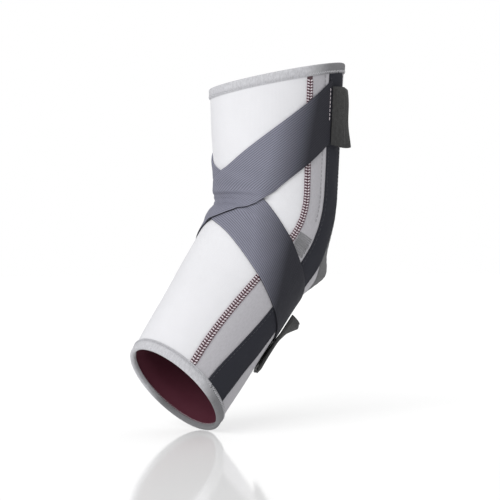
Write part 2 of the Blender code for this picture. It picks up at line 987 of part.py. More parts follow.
def main():
    clear_scene()
    finishes = {
        "white": material("white_front_fabric", (0.83, 0.83, 0.86), 0.75),
        "grey": material("grey_side_fabric", (0.42, 0.42, 0.44), 0.8),
        "mesh_knit": material("crease_mesh_knit", (0.80, 0.80, 0.83), 0.85),
        "cup_knit": material("grey_cup_knit", (0.25, 0.25, 0.26), 0.85),
        "lining": material("burgundy_lining", (0.065, 0.014, 0.022), 0.85),
        "binding": material("heather_binding", (0.47, 0.47, 0.49), 0.85),
        "tape": material("charcoal_tape", (0.032, 0.039, 0.047), 0.7),
        "thread": material("burgundy_thread", (0.18, 0.03, 0.06), 0.6),
        "steel": material("spring_steel", (0.55, 0.55, 0.56), 0.35, 1.0),
        "cap": material("cap_plastic", (0.05, 0.05, 0.05), 0.5),
        "strap": material("slate_webbing", (0.12, 0.12, 0.15), 0.65),
        "velour": material("charcoal_velour", (0.05, 0.05, 0.05), 0.95),
        "hook": material("black_hook", (0.01, 0.01, 0.01), 0.6),
        "foam": material("grey_foam", (0.2, 0.2, 0.2), 0.95),
    }
    make_panels(finishes)
    make_cushion(finishes["foam"])
    make_linings(finishes["lining"])
    make_bindings(finishes["binding"])
    make_long_strips(finishes)
    make_stay_caps(finishes["cap"])
    make_straps(finishes["strap"])
    make_tabs(finishes)
    make_loop_patches(finishes["velour"])
    make_bartacks(finishes["tape"])


main()
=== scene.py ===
"""Dresses the elbow support sleeve in its fabrics, threads, tapes and straps.

Every soft piece is cut flat, in metres, and then laid on the sleeve. A place on the sleeve is
the distance along its centre line (up the arm is positive), the angle round it in degrees
(0 back, -90 lateral, 180 or -180 front, 90 medial) and the height above the panels' outside.
"""

import math

import bpy
import numpy as np
from bpy.props import FloatProperty, FloatVectorProperty, PointerProperty
from bpy.types import Operator, Panel, PropertyGroup
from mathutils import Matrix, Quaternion, Vector


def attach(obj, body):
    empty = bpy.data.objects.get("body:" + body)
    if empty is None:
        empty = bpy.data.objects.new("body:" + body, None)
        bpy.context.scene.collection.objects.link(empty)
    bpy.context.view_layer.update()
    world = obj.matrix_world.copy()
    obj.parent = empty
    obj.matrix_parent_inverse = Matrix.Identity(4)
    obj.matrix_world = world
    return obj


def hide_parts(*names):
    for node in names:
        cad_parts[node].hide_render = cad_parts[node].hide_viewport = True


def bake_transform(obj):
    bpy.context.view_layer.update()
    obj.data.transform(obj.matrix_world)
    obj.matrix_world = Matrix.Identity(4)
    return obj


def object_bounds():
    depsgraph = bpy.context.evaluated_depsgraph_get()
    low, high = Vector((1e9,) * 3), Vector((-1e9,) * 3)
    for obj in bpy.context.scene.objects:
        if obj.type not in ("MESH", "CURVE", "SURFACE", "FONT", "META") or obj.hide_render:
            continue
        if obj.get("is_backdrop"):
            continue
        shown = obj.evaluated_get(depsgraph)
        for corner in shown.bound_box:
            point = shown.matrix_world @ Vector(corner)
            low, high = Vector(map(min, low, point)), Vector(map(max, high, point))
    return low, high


bl_info = {
    "name": "Elbow Support Sleeve",
    "version": (1, 0, 0),
    "blender": (4, 5, 0),
    "location": "3D View > Sidebar > Elbow Sleeve",
    "description": "Makes the fabrics, threads, tapes and straps of an elbow support sleeve",
    "category": "Object",
}

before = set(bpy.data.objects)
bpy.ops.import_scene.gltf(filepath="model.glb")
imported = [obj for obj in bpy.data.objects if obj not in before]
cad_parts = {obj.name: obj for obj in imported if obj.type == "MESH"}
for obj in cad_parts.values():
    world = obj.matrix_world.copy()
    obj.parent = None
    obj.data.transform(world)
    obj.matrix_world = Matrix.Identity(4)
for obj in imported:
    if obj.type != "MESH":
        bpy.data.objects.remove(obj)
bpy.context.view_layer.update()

# ---------------------------------------------------------------- the limb's shape
UPPER_LENGTH = 0.1155
FOREARM_LENGTH = 0.158
REST_BEND = math.radians(35.5)
BEND_RADIUS = 0.0676
TOP_HALF_DEPTH, TOP_HALF_WIDTH = 0.0561, 0.0490
ELBOW_HALF_DEPTH, ELBOW_HALF_WIDTH = 0.0503, 0.0438
CUFF_HALF_DEPTH, CUFF_HALF_WIDTH = 0.0433, 0.0360
TOP_RISE_BACK, TOP_RISE_LATERAL = 0.0121, 0.0024
CUFF_REACH_BACK, CUFF_REACH_MEDIAL = 0.0090, 0.0050
CREASE_PINCH, CREASE_AT, CREASE_SPREAD, CREASE_ANGLE_SPREAD = 0.0055, 0.004, 0.020, 50.0
CUP_BULGE, CUP_AT, CUP_SPREAD, CUP_ANGLE_SPREAD = 0.020, -0.023, 0.0095, 20.0
CUP_LEAN = math.radians(45)

# ---------------------------------------------------------------- lines and layers
LATERAL, MEDIAL = -1, 1
SIDES = ((LATERAL, "lateral"), (MEDIAL, "medial"))
PANEL_THICKNESS = 0.0014
SIDE_PANEL_THICKNESS = 0.0009
LINING_OUTER, LINING_THICKNESS = -0.0030, 0.0006
LINING_END_OUTER, LINING_END_REACH = -0.00155, 0.014
SEAM_ANGLE, SEAM_TURN, SEAM_TURN_START, SEAM_TURN_LENGTH = 92.5, 20.0, -0.010, 0.145
SEAM_WIDTH = 0.0055
TAPE_ANGLE, TAPE_TURN, TAPE_TURN_START, TAPE_TURN_LENGTH = 71.0, 21.0, 0.060, 0.100
TAPE_WIDTH = 0.025
TAPE_MIDDLE_ANGLE = 17.0
CUP_TOP_SIDE, CUP_TOP_RISE = 0.008, 0.016
CUP_BOTTOM_SIDE, CUP_BOTTOM_DROP = -0.012, 0.034
BINDING_OUTER, BINDING_INNER = 0.00085, -0.00290
BINDING_THICKNESS = 0.0006
BINDING_WIDTH, BINDING_INNER_WIDTH = 0.0083, 0.0040
EDGE_INSET = 0.0017
STRAP_WIDTH = 0.038
STRAP_CLEARANCE = 0.0004
STRAP_REACH, STRAP_ROOM, ROUTE_STEP = 0.290, 0.022, 0.002
STRAP_LAST_ANGLE = -284.0
OUTER_STRAP = ((-69.0, 0.0842), math.radians(-38.93))
INNER_STRAP = ((-26.0, -0.0647), math.radians(19.39))
UPPER_TAB = (-69.5, -46.0, 0.0578, 0.1033)
UPPER_TAB_LIFTS = (0.0075, 0.003, 0.0)
LOWER_TAB = (-31.0, -4.0, -0.109, -0.059)
LOWER_TAB_LIFTS = (0.003, 0.016, 0.0075)
# Object x where the straps' painted light fades: full in front of the first, none behind the second
PAINTED_LIGHT_FRONT = -0.042
PAINTED_LIGHT_REAR = -0.013
HOOK_RIM = 9.0
TAB_BASE = 0.0024
SEAM_THREAD, SEAM_BAR = 0.00022, 0.00054
LOCKSTITCH_PITCH = 0.0032
SEAM_GAP = 0.00015
SIDE_UNDER_TAPE = 0.003
CUP_GAP = 0.0003
CUP_THICKNESS = 0.0016
CUSHION_OUTER = -0.0031
ANCHOR_LEVEL = 0.0032


def smooth(value):
    value = np.clip(value, 0, 1)
    return value * value * (3 - 2 * value)


def mix(a, b, share):
    return a + (b - a) * share


def bell(distance, spread):
    return np.exp(-((distance / spread) ** 2) / 2)


def turn_from(angle, middle):
    return (angle - middle + 180) % 360 - 180


# ---------------------------------------------------------------- the sleeve's surface
def centre_line(along):
    half_arc = BEND_RADIUS * REST_BEND / 2
    turned = np.clip((half_arc - along) / (2 * half_arc), 0, 1) * REST_BEND
    nought = np.zeros_like(turned)
    outward = np.stack([np.cos(turned), nought, -np.sin(turned)], -1)
    upward = np.stack([np.sin(turned), nought, np.cos(turned)], -1)
    arc_centre = np.array([-BEND_RADIUS, 0, BEND_RADIUS * math.tan(REST_BEND / 2)])
    straight = np.maximum(along - half_arc, 0) + np.minimum(along + half_arc, 0)
    return arc_centre + outward * BEND_RADIUS + upward * straight[..., None], outward, upward


def half_axes(along):
    upper, lower = along / UPPER_LENGTH, -along / FOREARM_LENGTH
    above = along > 0
    depth = np.where(
        above,
        mix(ELBOW_HALF_DEPTH, TOP_HALF_DEPTH, upper),
        mix(ELBOW_HALF_DEPTH, CUFF_HALF_DEPTH, lower),
    )
    width = np.where(
        above,
        mix(ELBOW_HALF_WIDTH, TOP_HALF_WIDTH, upper),
        mix(ELBOW_HALF_WIDTH, CUFF_HALF_WIDTH, lower),
    )
    return depth, width


def surface(along, angle, height=0.0, bulge=CUP_BULGE):
    """The points of the sleeve at places along it, angles round it and heights above it."""
    along, angle, height = np.broadcast_arrays(
        np.asarray(along, float), np.asarray(angle, float), np.asarray(height, float)
    )
    point, outward, upward = centre_line(along)
    depth, width = half_axes(along)
    turn = np.radians(angle)
    pinch = CREASE_PINCH * bell(along - CREASE_AT, CREASE_SPREAD)
    pinch = pinch * bell(turn_from(angle, 180), CREASE_ANGLE_SPREAD)
    pushed = bulge * bell(along - CUP_AT, CUP_SPREAD) * bell(turn_from(angle, 0), CUP_ANGLE_SPREAD)
    out = (depth + height - pinch) * np.cos(turn) + pushed * math.cos(CUP_LEAN)
    laid = point + outward * out[..., None] + upward * (pushed * math.sin(CUP_LEAN))[..., None]
    laid[..., 1] += (width + height) * np.sin(turn)
    return laid


def radius_at(along, angle):
    depth, width = half_axes(along)
    turn = np.radians(angle)
    return np.hypot(depth * np.sin(turn), width * np.cos(turn))


def degrees_for(length, along, angle):
    return np.degrees(length / radius_at(along, angle))


def top_edge(angle):
    turn = np.radians(angle)
    return UPPER_LENGTH + TOP_RISE_BACK * np.cos(turn) - TOP_RISE_LATERAL * np.sin(turn)


def cuff_edge(angle):
    turn = np.radians(angle)
    return -(FOREARM_LENGTH + CUFF_REACH_BACK * np.cos(turn) + CUFF_REACH_MEDIAL * np.sin(turn))


def panel_top(angle):
    return top_edge(angle) - EDGE_INSET


def panel_cuff(angle):
    return cuff_edge(angle) + EDGE_INSET


def seam_line(along):
    return SEAM_ANGLE + SEAM_TURN * smooth((-along - SEAM_TURN_START) / SEAM_TURN_LENGTH)


def tape_front(along):
    return TAPE_ANGLE + TAPE_TURN * smooth((-along - TAPE_TURN_START) / TAPE_TURN_LENGTH)


def tape_rear(along):
    front = tape_front(along)
    return front - degrees_for(TAPE_WIDTH, along, front - TAPE_MIDDLE_ANGLE)


def cup_top(angle):
    return CUP_TOP_SIDE + CUP_TOP_RISE * np.maximum(0, np.cos(np.radians(2 * angle)))


def cup_bottom(angle):
    return CUP_BOTTOM_SIDE - CUP_BOTTOM_DROP * np.maximum(0, np.cos(np.radians(2 * angle)))


def always(value):
    """A line, an end or a height that is the same everywhere."""
    return lambda places, *_: np.full_like(places, value)


def beside(line, offset, side=1, turn=0):
    """The line that runs this many metres in front of another, on one side of the arm."""

    def at(along):
        middle = line(along)
        return turn + side * (middle + degrees_for(offset, along, middle))

    return at


def open_reach(side, line):
    """Where a long line comes out from under the two bindings."""
    low, high = -FOREARM_LENGTH, UPPER_LENGTH
    for _ in range(6):
        low = float(cuff_edge(side * line(low))) + BINDING_WIDTH
        high = float(top_edge(side * line(high))) - BINDING_WIDTH
    return low, high


def from_line(line, along, angle):
    """How far a place is from a long line on its own side, in metres, forwards positive."""
    away = np.abs(turn_from(angle, 0)) - line(along)
    return np.radians(away) * radius_at(along, angle)


# ---------------------------------------------------------------- cutting and laying cloth
def start_piece(name):
    piece = bpy.context.object
    piece.name = name
    piece.data.name = name
    bpy.ops.object.transform_apply(location=True, rotation=True, scale=True)
    return piece


def deselect():
    bpy.ops.object.select_all(action="DESELECT")


def cloth(name, columns, rows):
    """A flat unit square of cloth, in cells."""
    deselect()
    bpy.ops.mesh.primitive_grid_add(
        x_subdivisions=columns, y_subdivisions=rows, size=1, location=(0.5, 0.5, 0)
    )
    return start_piece(name)


def corners_of(piece):
    flat = np.empty(len(piece.data.vertices) * 3)
    piece.data.vertices.foreach_get("co", flat)
    return flat.reshape(-1, 3)


def put_corners(piece, corners):
    piece.data.vertices.foreach_set("co", np.ascontiguousarray(corners, dtype=float).ravel())
    piece.data.update()


def make_active(piece):
    deselect()
    piece.select_set(True)
    bpy.context.view_layer.objects.active = piece


def edit(piece, select_mode="FACE"):
    make_active(piece)
    bpy.ops.object.mode_set(mode="EDIT")
    bpy.ops.mesh.select_mode(type=select_mode)


def end_edit():
    bpy.ops.object.mode_set(mode="OBJECT")


def draw_grain(piece, grain):
    """Writes the piece's cloth map, in metres, which its weave follows."""
    mesh = piece.data
    layer = mesh.uv_layers[0] if mesh.uv_layers else mesh.uv_layers.new(name="cloth")
    layer.name = "cloth"
    loops = np.empty(len(mesh.loops), dtype=np.int32)
    mesh.loops.foreach_get("vertex_index", loops)
    layer.uv.foreach_set("vector", np.ascontiguousarray(grain[loops], dtype=np.float32).ravel())


def turn_faces(piece):
    edit(piece)
    bpy.ops.mesh.select_all(action="SELECT")
    bpy.ops.mesh.flip_normals()
    end_edit()


def lay(piece, place, grain=None):
    """Lays a flat piece on the sleeve. place(x, y, z) gives its points."""
    flat = corners_of(piece)
    if grain is not None:
        draw_grain(piece, grain(flat[:, 0], flat[:, 1]))
    put_corners(piece, place(flat[:, 0], flat[:, 1], flat[:, 2]))
    probe = flat.mean(0) + np.vstack([np.zeros(3), np.eye(3) * 1e-4])
    spots = place(probe[:, 0], probe[:, 1], probe[:, 2])
    across, up, out = spots[1:] - spots[0]
    if np.dot(np.cross(across, up), out) < 0:
        turn_faces(piece)


def apply_modifiers(piece):
    make_active(piece)
    for modifier in list(piece.modifiers):
        bpy.ops.object.modifier_apply(modifier=modifier.name)


def round_edges(piece, width, sharpest):
    """Rounds the edges that turn more than this many degrees."""
    rounding = piece.modifiers.new("Cut edge", "BEVEL")
    rounding.width = width
    rounding.segments = 2
    rounding.limit_method = "ANGLE"
    rounding.angle_limit = math.radians(sharpest)
    apply_modifiers(piece)


def thicken(piece, thickness, rim=0.0003):
    """Gives cloth its thickness inwards, and rounds its cut edges."""
    solid = piece.modifiers.new("Thickness", "SOLIDIFY")
    solid.thickness = thickness
    solid.offset = -1
    solid.use_even_offset = False
    round_edges(piece, rim, 60)


def finish(piece, look, slot, *nodes, body=None):
    """Gives a piece its material and its body, and hides the CAD nodes that it stands for."""
    piece.data.materials.clear()
    piece.data.materials.append(look)
    make_active(piece)
    bpy.ops.object.shade_smooth_by_angle(angle=math.radians(50))
    if body is None:
        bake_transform(piece)
    else:
        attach(piece, body)
    if nodes:
        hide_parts(*nodes)
    return piece


def settle(across, up, first, last, low, high):
    """The places at these shares of a patch whose side edges and ends both curve."""
    along = np.full_like(across, (low(np.zeros(1))[0] + high(np.zeros(1))[0]) / 2)
    for _ in range(10):
        angle = mix(first(along), last(along), across)
        along = mix(low(angle), high(angle), up)
    return along, angle


GRAIN_RADIUS = 0.046
RING_GRAIN = 0.30


def grain_at(locate):
    """The cloth map of a piece that is cut along the arm, from where it lies."""

    def grain(x, y):
        along, angle = locate(x, y)
        return np.stack([np.radians(angle) * GRAIN_RADIUS, along], -1)

    return grain


def patch(name, edges, ends, columns, rows, height, thickness):
    """A shell piece between two edge lines and two end lines."""
    piece = cloth(name, columns, rows)

    def locate(x, y):
        return settle(x, y, *edges, *ends)

    def place(x, y, z):
        along, angle = locate(x, y)
        return surface(along, angle, height(along, angle) + z)

    lay(piece, place, grain_at(locate))
    thicken(piece, thickness)
    return piece


# ---------------------------------------------------------------- threads
def stitch(name, length, radius, lift, tilt=0.0, sides=6):
    """One stitch as it lies on cloth: a short thread whose ends dive in."""
    deselect()
    bpy.ops.mesh.primitive_cylinder_add(
        vertices=sides, radius=radius, depth=length, rotation=(0, math.radians(90), 0)
    )
    piece = start_piece(name)
    edit(piece, "EDGE")
    bpy.ops.mesh.select_all(action="DESELECT")
    end_edit()
    for edge in piece.data.edges:
        a, b = (piece.data.vertices[i].co for i in edge.vertices)
        edge.select = abs(a.x - b.x) > length / 2
    bpy.ops.object.mode_set(mode="EDIT")
    bpy.ops.mesh.subdivide(number_cuts=3)
    end_edit()
    thread = corners_of(piece)
    share = np.clip(np.abs(thread[:, 0]) / (length / 2), 0, 1)
    thread[:, 1:] *= (1 - 0.45 * share**4)[:, None]
    thread[:, 2] += lift * (1 - share**2.5) - radius * 0.6 * share**2.5
    turned = thread.copy()
    turned[:, 0] = thread[:, 0] * math.cos(tilt) - thread[:, 1] * math.sin(tilt)
    turned[:, 1] = thread[:, 0] * math.sin(tilt) + thread[:, 1] * math.cos(tilt)
    put_corners(piece, turned)
    return piece


def shift(piece, offset):
    put_corners(piece, corners_of(piece) + np.array(offset))
    return piece


def repeat(piece, count, offset):
    """Copies a stitch count times, each offset from the last."""
    row = piece.modifiers.new("Row", "ARRAY")
    row.count = count
    row.use_relative_offset = False
    row.use_constant_offset = True
    row.constant_offset_displace = offset
    apply_modifiers(piece)
    return piece


def join(name, pieces):
    make_active(pieces[0])
    for piece in pieces:
        piece.select_set(True)
    bpy.ops.object.join()
    pieces[0].name = name
    pieces[0].data.name = name
    return pieces[0]


# ---------------------------------------------------------------- shader groups
def add_node(tree, kind, **settings):
    node = tree.nodes.new(kind)
    for key, value in settings.items():
        setattr(node, key, value)
    return node


def feed(tree, socket, value):
    if isinstance(value, bpy.types.NodeSocket):
        tree.links.new(value, socket)
    else:
        socket.default_value = value


def maths(tree, operation, *values):
    node = add_node(tree, "ShaderNodeMath", operation=operation)
    for socket, value in zip(node.inputs, values, strict=False):
        feed(tree, socket, value)
    return node.outputs[0]


def noise(tree, vector, scale, detail=3.0, roughness=0.55):
    node = add_node(tree, "ShaderNodeTexNoise")
    feed(tree, node.inputs["Vector"], vector)
    feed(tree, node.inputs["Scale"], scale)
    node.inputs["Detail"].default_value = detail
    node.inputs["Roughness"].default_value = roughness
    return node.outputs["Fac"]


def spread(tree, value, low, high, new_low=0.0, new_high=1.0):
    node = add_node(tree, "ShaderNodeMapRange")
    for socket, given in zip(node.inputs, (value, low, high, new_low, new_high), strict=False):
        feed(tree, socket, given)
    return node.outputs[0]


def split(tree, vector):
    """The three numbers of a vector."""
    parts = add_node(tree, "ShaderNodeSeparateXYZ")
    tree.links.new(vector, parts.inputs[0])
    return parts.outputs


def drawn_once(name, outputs, **sizes):
    """Marks a function that fills a group, which is built the first time and then reused."""

    def mark(fill):
        def group():
            if name in bpy.data.node_groups:
                return bpy.data.node_groups[name]
            tree = bpy.data.node_groups.new(name, "ShaderNodeTree")
            face = tree.interface
            face.new_socket(name="Vector", in_out="INPUT", socket_type="NodeSocketVector")
            for label, value in sizes.items():
                made = face.new_socket(name=label, in_out="INPUT", socket_type="NodeSocketFloat")
                made.default_value = value
            for label in outputs:
                face.new_socket(name=label, in_out="OUTPUT", socket_type="NodeSocketFloat")
            given, made = tree.nodes.new("NodeGroupInput"), tree.nodes.new("NodeGroupOutput")
            fill(tree, given.outputs, made.inputs)
            return tree

        return group

    return mark


@drawn_once("Ribbed Webbing", ("Height", "Shade"), Rib=0.0013, Pick=0.0009)
def ribbed_webbing_group(tree, given, made):
    """Ribs along the tape, crossed by fine picks that alternate from rib to rib."""
    x, y, _ = split(tree, given["Vector"])
    rib = maths(tree, "DIVIDE", x, given["Rib"])
    ribs = maths(tree, "ABSOLUTE", maths(tree, "SINE", maths(tree, "MULTIPLY", rib, math.pi)))
    step = maths(tree, "MULTIPLY", maths(tree, "FLOOR", rib), 0.5)
    pick = maths(tree, "DIVIDE", y, given["Pick"])
    pick = maths(tree, "MULTIPLY", maths(tree, "ADD", pick, step), math.pi)
    picks = maths(tree, "ABSOLUTE", maths(tree, "SINE", pick))
    round_rib = maths(tree, "POWER", ribs, 0.6)
    height = maths(tree, "MULTIPLY", round_rib, spread(tree, picks, 0, 1, 0.75, 1))
    tree.links.new(height, made["Height"])
    dimmed = spread(tree, picks, 0, 1, 0.8, 1)
    shade = maths(tree, "MULTIPLY", spread(tree, round_rib, 0, 0.8), dimmed)
    tree.links.new(shade, made["Shade"])


@drawn_once("Knit Loops", ("Height", "Shade"), Wale=0.0009, Course=0.0007)
def knit_group(tree, given, made):
    """Columns of V-shaped knit loops."""
    x, y, _ = split(tree, given["Vector"])
    wale = maths(tree, "FRACT", maths(tree, "DIVIDE", x, given["Wale"]))
    away = maths(tree, "ABSOLUTE", maths(tree, "MULTIPLY_ADD", wale, 2.0, -1.0))
    course = maths(tree, "DIVIDE", y, given["Course"])
    leaning = maths(tree, "MULTIPLY_ADD", away, 0.6, course)
    loops = maths(tree, "ABSOLUTE", maths(tree, "SINE", maths(tree, "MULTIPLY", leaning, math.pi)))
    valley = maths(tree, "SUBTRACT", 1.0, maths(tree, "POWER", away, 4.0))
    height = maths(tree, "MULTIPLY", maths(tree, "POWER", loops, 0.7), valley)
    tree.links.new(height, made["Height"])
    tree.links.new(spread(tree, height, 0, 0.6), made["Shade"])


@drawn_once("Heather Fibres", ("Mix",), Size=0.001)
def heather_group(tree, given, made):
    """Short fibres of two shades, drawn out along the cloth."""
    stretch = add_node(tree, "ShaderNodeVectorMath", operation="MULTIPLY")
    tree.links.new(given["Vector"], stretch.inputs[0])
    stretch.inputs[1].default_value = (1.0, 0.4, 1.0)
    fine = noise(tree, stretch.outputs[0], maths(tree, "DIVIDE", 1.0, given["Size"]), 2.0)
    tree.links.new(spread(tree, fine, 0.35, 0.65), made["Mix"])


@drawn_once("Handling", ("Mix", "Rough"))
def handling_group(tree, given, made):
    """Broad, faint changes of shade from wear and handling, over the whole sleeve."""
    broad = noise(tree, given["Vector"], 28.0, 4.0)
    tree.links.new(spread(tree, broad, 0.3, 0.7), made["Mix"])
    tree.links.new(noise(tree, given["Vector"], 90.0, 2.0), made["Rough"])


@drawn_once("Brushed Nap", ("Height", "Shade"), Size=0.0012)
def nap_group(tree, given, made):
    """Brushed pile: clumps of fibre that lean together."""
    pitch = maths(tree, "DIVIDE", 1.0, given["Size"])
    fine = noise(tree, given["Vector"], maths(tree, "MULTIPLY", pitch, 2.5), 3.0, 0.7)
    clumps = noise(tree, given["Vector"], maths(tree, "MULTIPLY", pitch, 0.4), 3.0)
    tree.links.new(fine, made["Height"])
    both = maths(tree, "MULTIPLY", spread(tree, fine, 0.3, 0.7, 0.5, 1), clumps)
    tree.links.new(spread(tree, both, 0.2, 0.6), made["Shade"])


def place_group(tree, group, vector, **values):
    node = add_node(tree, "ShaderNodeGroup", node_tree=group)
    tree.links.new(vector, node.inputs["Vector"])
    for label, value in values.items():
        node.inputs[label].default_value = value
    return node


def blend_colours(tree, share, first, second):
    node = add_node(tree, "ShaderNodeMix", data_type="RGBA")
    feed(tree, node.inputs["Factor"], share)
    feed(tree, node.inputs[6], first)
    feed(tree, node.inputs[7], second)
    return node.outputs[2]


def darker(colour, factor):
    return (*[part * factor for part in colour], 1)


def new_material(name):
    """A new material, its node tree and its Principled shader."""
    made = bpy.data.materials.new(name)
    made.use_nodes = True
    return made, made.node_tree, made.node_tree.nodes["Principled BSDF"]


def add_relief(tree, shader, height, strength, distance):
    relief = add_node(tree, "ShaderNodeBump")
    relief.inputs["Strength"].default_value = strength
    relief.inputs["Distance"].default_value = distance
    tree.links.new(height, relief.inputs["Height"])
    tree.links.new(relief.outputs[0], shader.inputs["Normal"])


def woven_look(
    name, colour, group, sizes, valley, bump, roughness,
    heather=0.0, sheen=0.0, rear=0.0, gloss=0.3, stretched=0.0,
):
    """A cloth: its pattern group, its shade in the valleys and its bump depth in metres.

    rear is how much darker a ring of cloth gets over the back of the arm. The last argument is
    painted light:
    how many times lighter the ribs are painted towards the front, a painted highlight where the key
    light falls.
    """
    made, tree, shader = new_material(name)
    shader.inputs["Sheen Weight"].default_value = sheen
    shader.inputs["Sheen Roughness"].default_value = 0.5
    shader.inputs["Specular IOR Level"].default_value = gloss
    cloth_map = add_node(tree, "ShaderNodeUVMap", uv_map="cloth").outputs[0]
    sleeve_place = add_node(tree, "ShaderNodeTexCoord").outputs["Object"]
    pattern = place_group(tree, group, cloth_map, **sizes)
    handling = place_group(tree, handling_group(), sleeve_place)
    base = blend_colours(tree, pattern.outputs["Shade"], darker(colour, valley), darker(colour, 1))
    if heather:
        fibres = place_group(tree, heather_group(), cloth_map, Size=0.0011)
        share = spread(tree, fibres.outputs["Mix"], 0, 1, heather, 0)
        base = blend_colours(tree, share, base, darker(colour, 0.35))
    # Darker over the back of the ring, by the cloth map's place round it
    if rear:
        x, _, _ = split(tree, cloth_map)
        away = maths(tree, "ABSOLUTE", maths(tree, "SUBTRACT", x, RING_GRAIN / 2))
        share = spread(tree, away, RING_GRAIN * 0.20, RING_GRAIN * 0.27, rear, 0.0)
        base = blend_colours(tree, share, base, darker(colour, 0.12))
    # Painted light on the straps: the ribs are painted lighter towards the front, a painted
    # highlight where the key light falls
    if stretched:
        x, _, z = split(tree, sleeve_place)
        back = maths(tree, "SUBTRACT", x, maths(tree, "MULTIPLY", z, 0.2))
        share = spread(tree, back, PAINTED_LIGHT_FRONT, PAINTED_LIGHT_REAR, 1.0, 0.0)
        painted_lit_colour = blend_colours(
            tree, pattern.outputs["Shade"], darker(colour, 1.1), darker(colour, stretched)
        )
        base = blend_colours(tree, share, base, painted_lit_colour)
    worn = spread(tree, handling.outputs["Mix"], 0, 1, 0.0, 0.09)
    base = blend_colours(tree, worn, base, darker(colour, 0.55))
    tree.links.new(base, shader.inputs["Base Color"])
    rough = spread(tree, handling.outputs["Rough"], 0, 1, roughness - 0.08, roughness + 0.08)
    tree.links.new(rough, shader.inputs["Roughness"])
    add_relief(tree, shader, pattern.outputs["Height"], 0.8, bump)
    return made


def thread_look(name, colour, roughness=0.45):
    """Twisted sewing thread: fine plies in its shade and relief."""
    made, tree, shader = new_material(name)
    shader.inputs["Sheen Weight"].default_value = 0.2
    place = add_node(tree, "ShaderNodeTexCoord").outputs["Object"]
    plies = noise(tree, place, 2600.0, 2.0)
    lit = spread(tree, plies, 0.35, 0.6)
    base = blend_colours(tree, lit, darker(colour, 0.6), darker(colour, 1))
    tree.links.new(base, shader.inputs["Base Color"])
    rough = spread(tree, plies, 0, 1, roughness - 0.1, roughness + 0.1)
    tree.links.new(rough, shader.inputs["Roughness"])
    add_relief(tree, shader, plies, 0.6, 0.0001)
    return made


def grained_look(name, grain, dark, light, roughness, metallic):
    """Metal or plastic of two shades in fine grains, grain of them to a metre."""
    made, tree, shader = new_material(name)
    shader.inputs["Metallic"].default_value = metallic
    place = add_node(tree, "ShaderNodeTexCoord").outputs["Object"]
    drawn = noise(tree, place, grain, 3.0)
    base = blend_colours(tree, drawn, (*dark, 1), (*light, 1))
    tree.links.new(base, shader.inputs["Base Color"])
    tree.links.new(spread(tree, drawn, 0, 1, *roughness), shader.inputs["Roughness"])
    return made


def look(name, maker, *values, **settings):
    """A material of this name, made the first time that it is asked for."""
    return bpy.data.materials.get(name) or maker(name, *values, **settings)


def woven(name, colour_name, group, sizes, **settings):
    """A cloth in one of the sidebar's colours."""
    colour = getattr(bpy.context.scene.sleeve_colours, colour_name)
    return look(name, woven_look, colour, group(), sizes, **settings)


def thread(name, colour_name):
    """A sewing thread in one of the sidebar's colours."""
    return look(name, thread_look, getattr(bpy.context.scene.sleeve_colours, colour_name))


def front_cloth():
    return woven(
        "Front knit", "front", knit_group, {"Wale": 0.0009, "Course": 0.0007},
        valley=0.90, bump=0.00008, roughness=0.72, sheen=0.05,
    )


def side_cloth():
    return woven(
        "Side knit", "side", knit_group, {"Wale": 0.0008, "Course": 0.0006},
        valley=0.8, bump=0.00008, roughness=0.6, sheen=0.1, heather=0.12,
    )


def cup_cloth():
    return woven(
        "Cup knit", "cup", knit_group, {"Wale": 0.0016, "Course": 0.0012},
        valley=0.55, bump=0.0003, roughness=0.75, sheen=0.1, heather=0.25,
    )


def lining_cloth():
    return woven(
        "Lining knit", "lining", knit_group, {"Wale": 0.0010, "Course": 0.0008},
        valley=0.6, bump=0.00012, roughness=0.8,
    )


def binding_cloth():
    return woven(
        "Binding knit", "binding", knit_group, {"Wale": 0.0010, "Course": 0.0008},
        valley=0.8, bump=0.00016, roughness=0.75, sheen=0.05, heather=0.3, rear=0.75,
    )


def strap_webbing():
    return woven(
        "Strap webbing", "strap", ribbed_webbing_group, {"Rib": 0.0015, "Pick": 0.0011},
        # painted light: the ribs are painted up to this many times lighter towards the front
        valley=0.45, bump=0.00030, roughness=0.6, gloss=0.1, stretched=7.2,
    )


def tape_webbing():
    return woven(
        "Tape webbing", "tape", ribbed_webbing_group, {"Rib": 0.0012, "Pick": 0.0010},
        valley=0.6, bump=0.00018, roughness=0.7, gloss=0.05,
    )


def velour():
    return woven(
        "Velour", "velour", nap_group, {"Size": 0.0014},
        valley=0.45, bump=0.0004, roughness=0.9, sheen=0.1,
    )


def hook_tape():
    return woven(
        "Hook tape", "hook", ribbed_webbing_group, {"Rib": 0.0010, "Pick": 0.0016},
        valley=0.5, bump=0.0004, roughness=0.45,
    )


def foam():
    return woven(
        "Cushion foam", "cup", nap_group, {"Size": 0.0010},
        valley=0.7, bump=0.0002, roughness=0.9,
    )


def spring_steel():
    return look(
        "Spring steel", grained_look, 700.0, (0.42, 0.42, 0.43), (0.62, 0.62, 0.63),
        roughness=(0.25, 0.42), metallic=1.0,
    )


def cap_plastic():
    return look(
        "Dipped cap", grained_look, 1800.0, (0.035, 0.035, 0.036), (0.06, 0.06, 0.062),
        roughness=(0.45, 0.6), metallic=0.0,
    )


# ---------------------------------------------------------------- body panels
def ease(along, angle):
    """The cloth's soft waves, and its folds at the crease."""
    folds = 0.0004 * np.sin(along * 560 + np.radians(angle) * 3)
    folds = folds * bell(along - CREASE_AT, 0.024) * bell(turn_from(angle, 180), 60)
    waves = np.sin(along * 95 + 1.0) * np.sin(np.radians(turn_from(angle, 0)) * 2 + along * 30)
    return folds + 0.0002 * waves


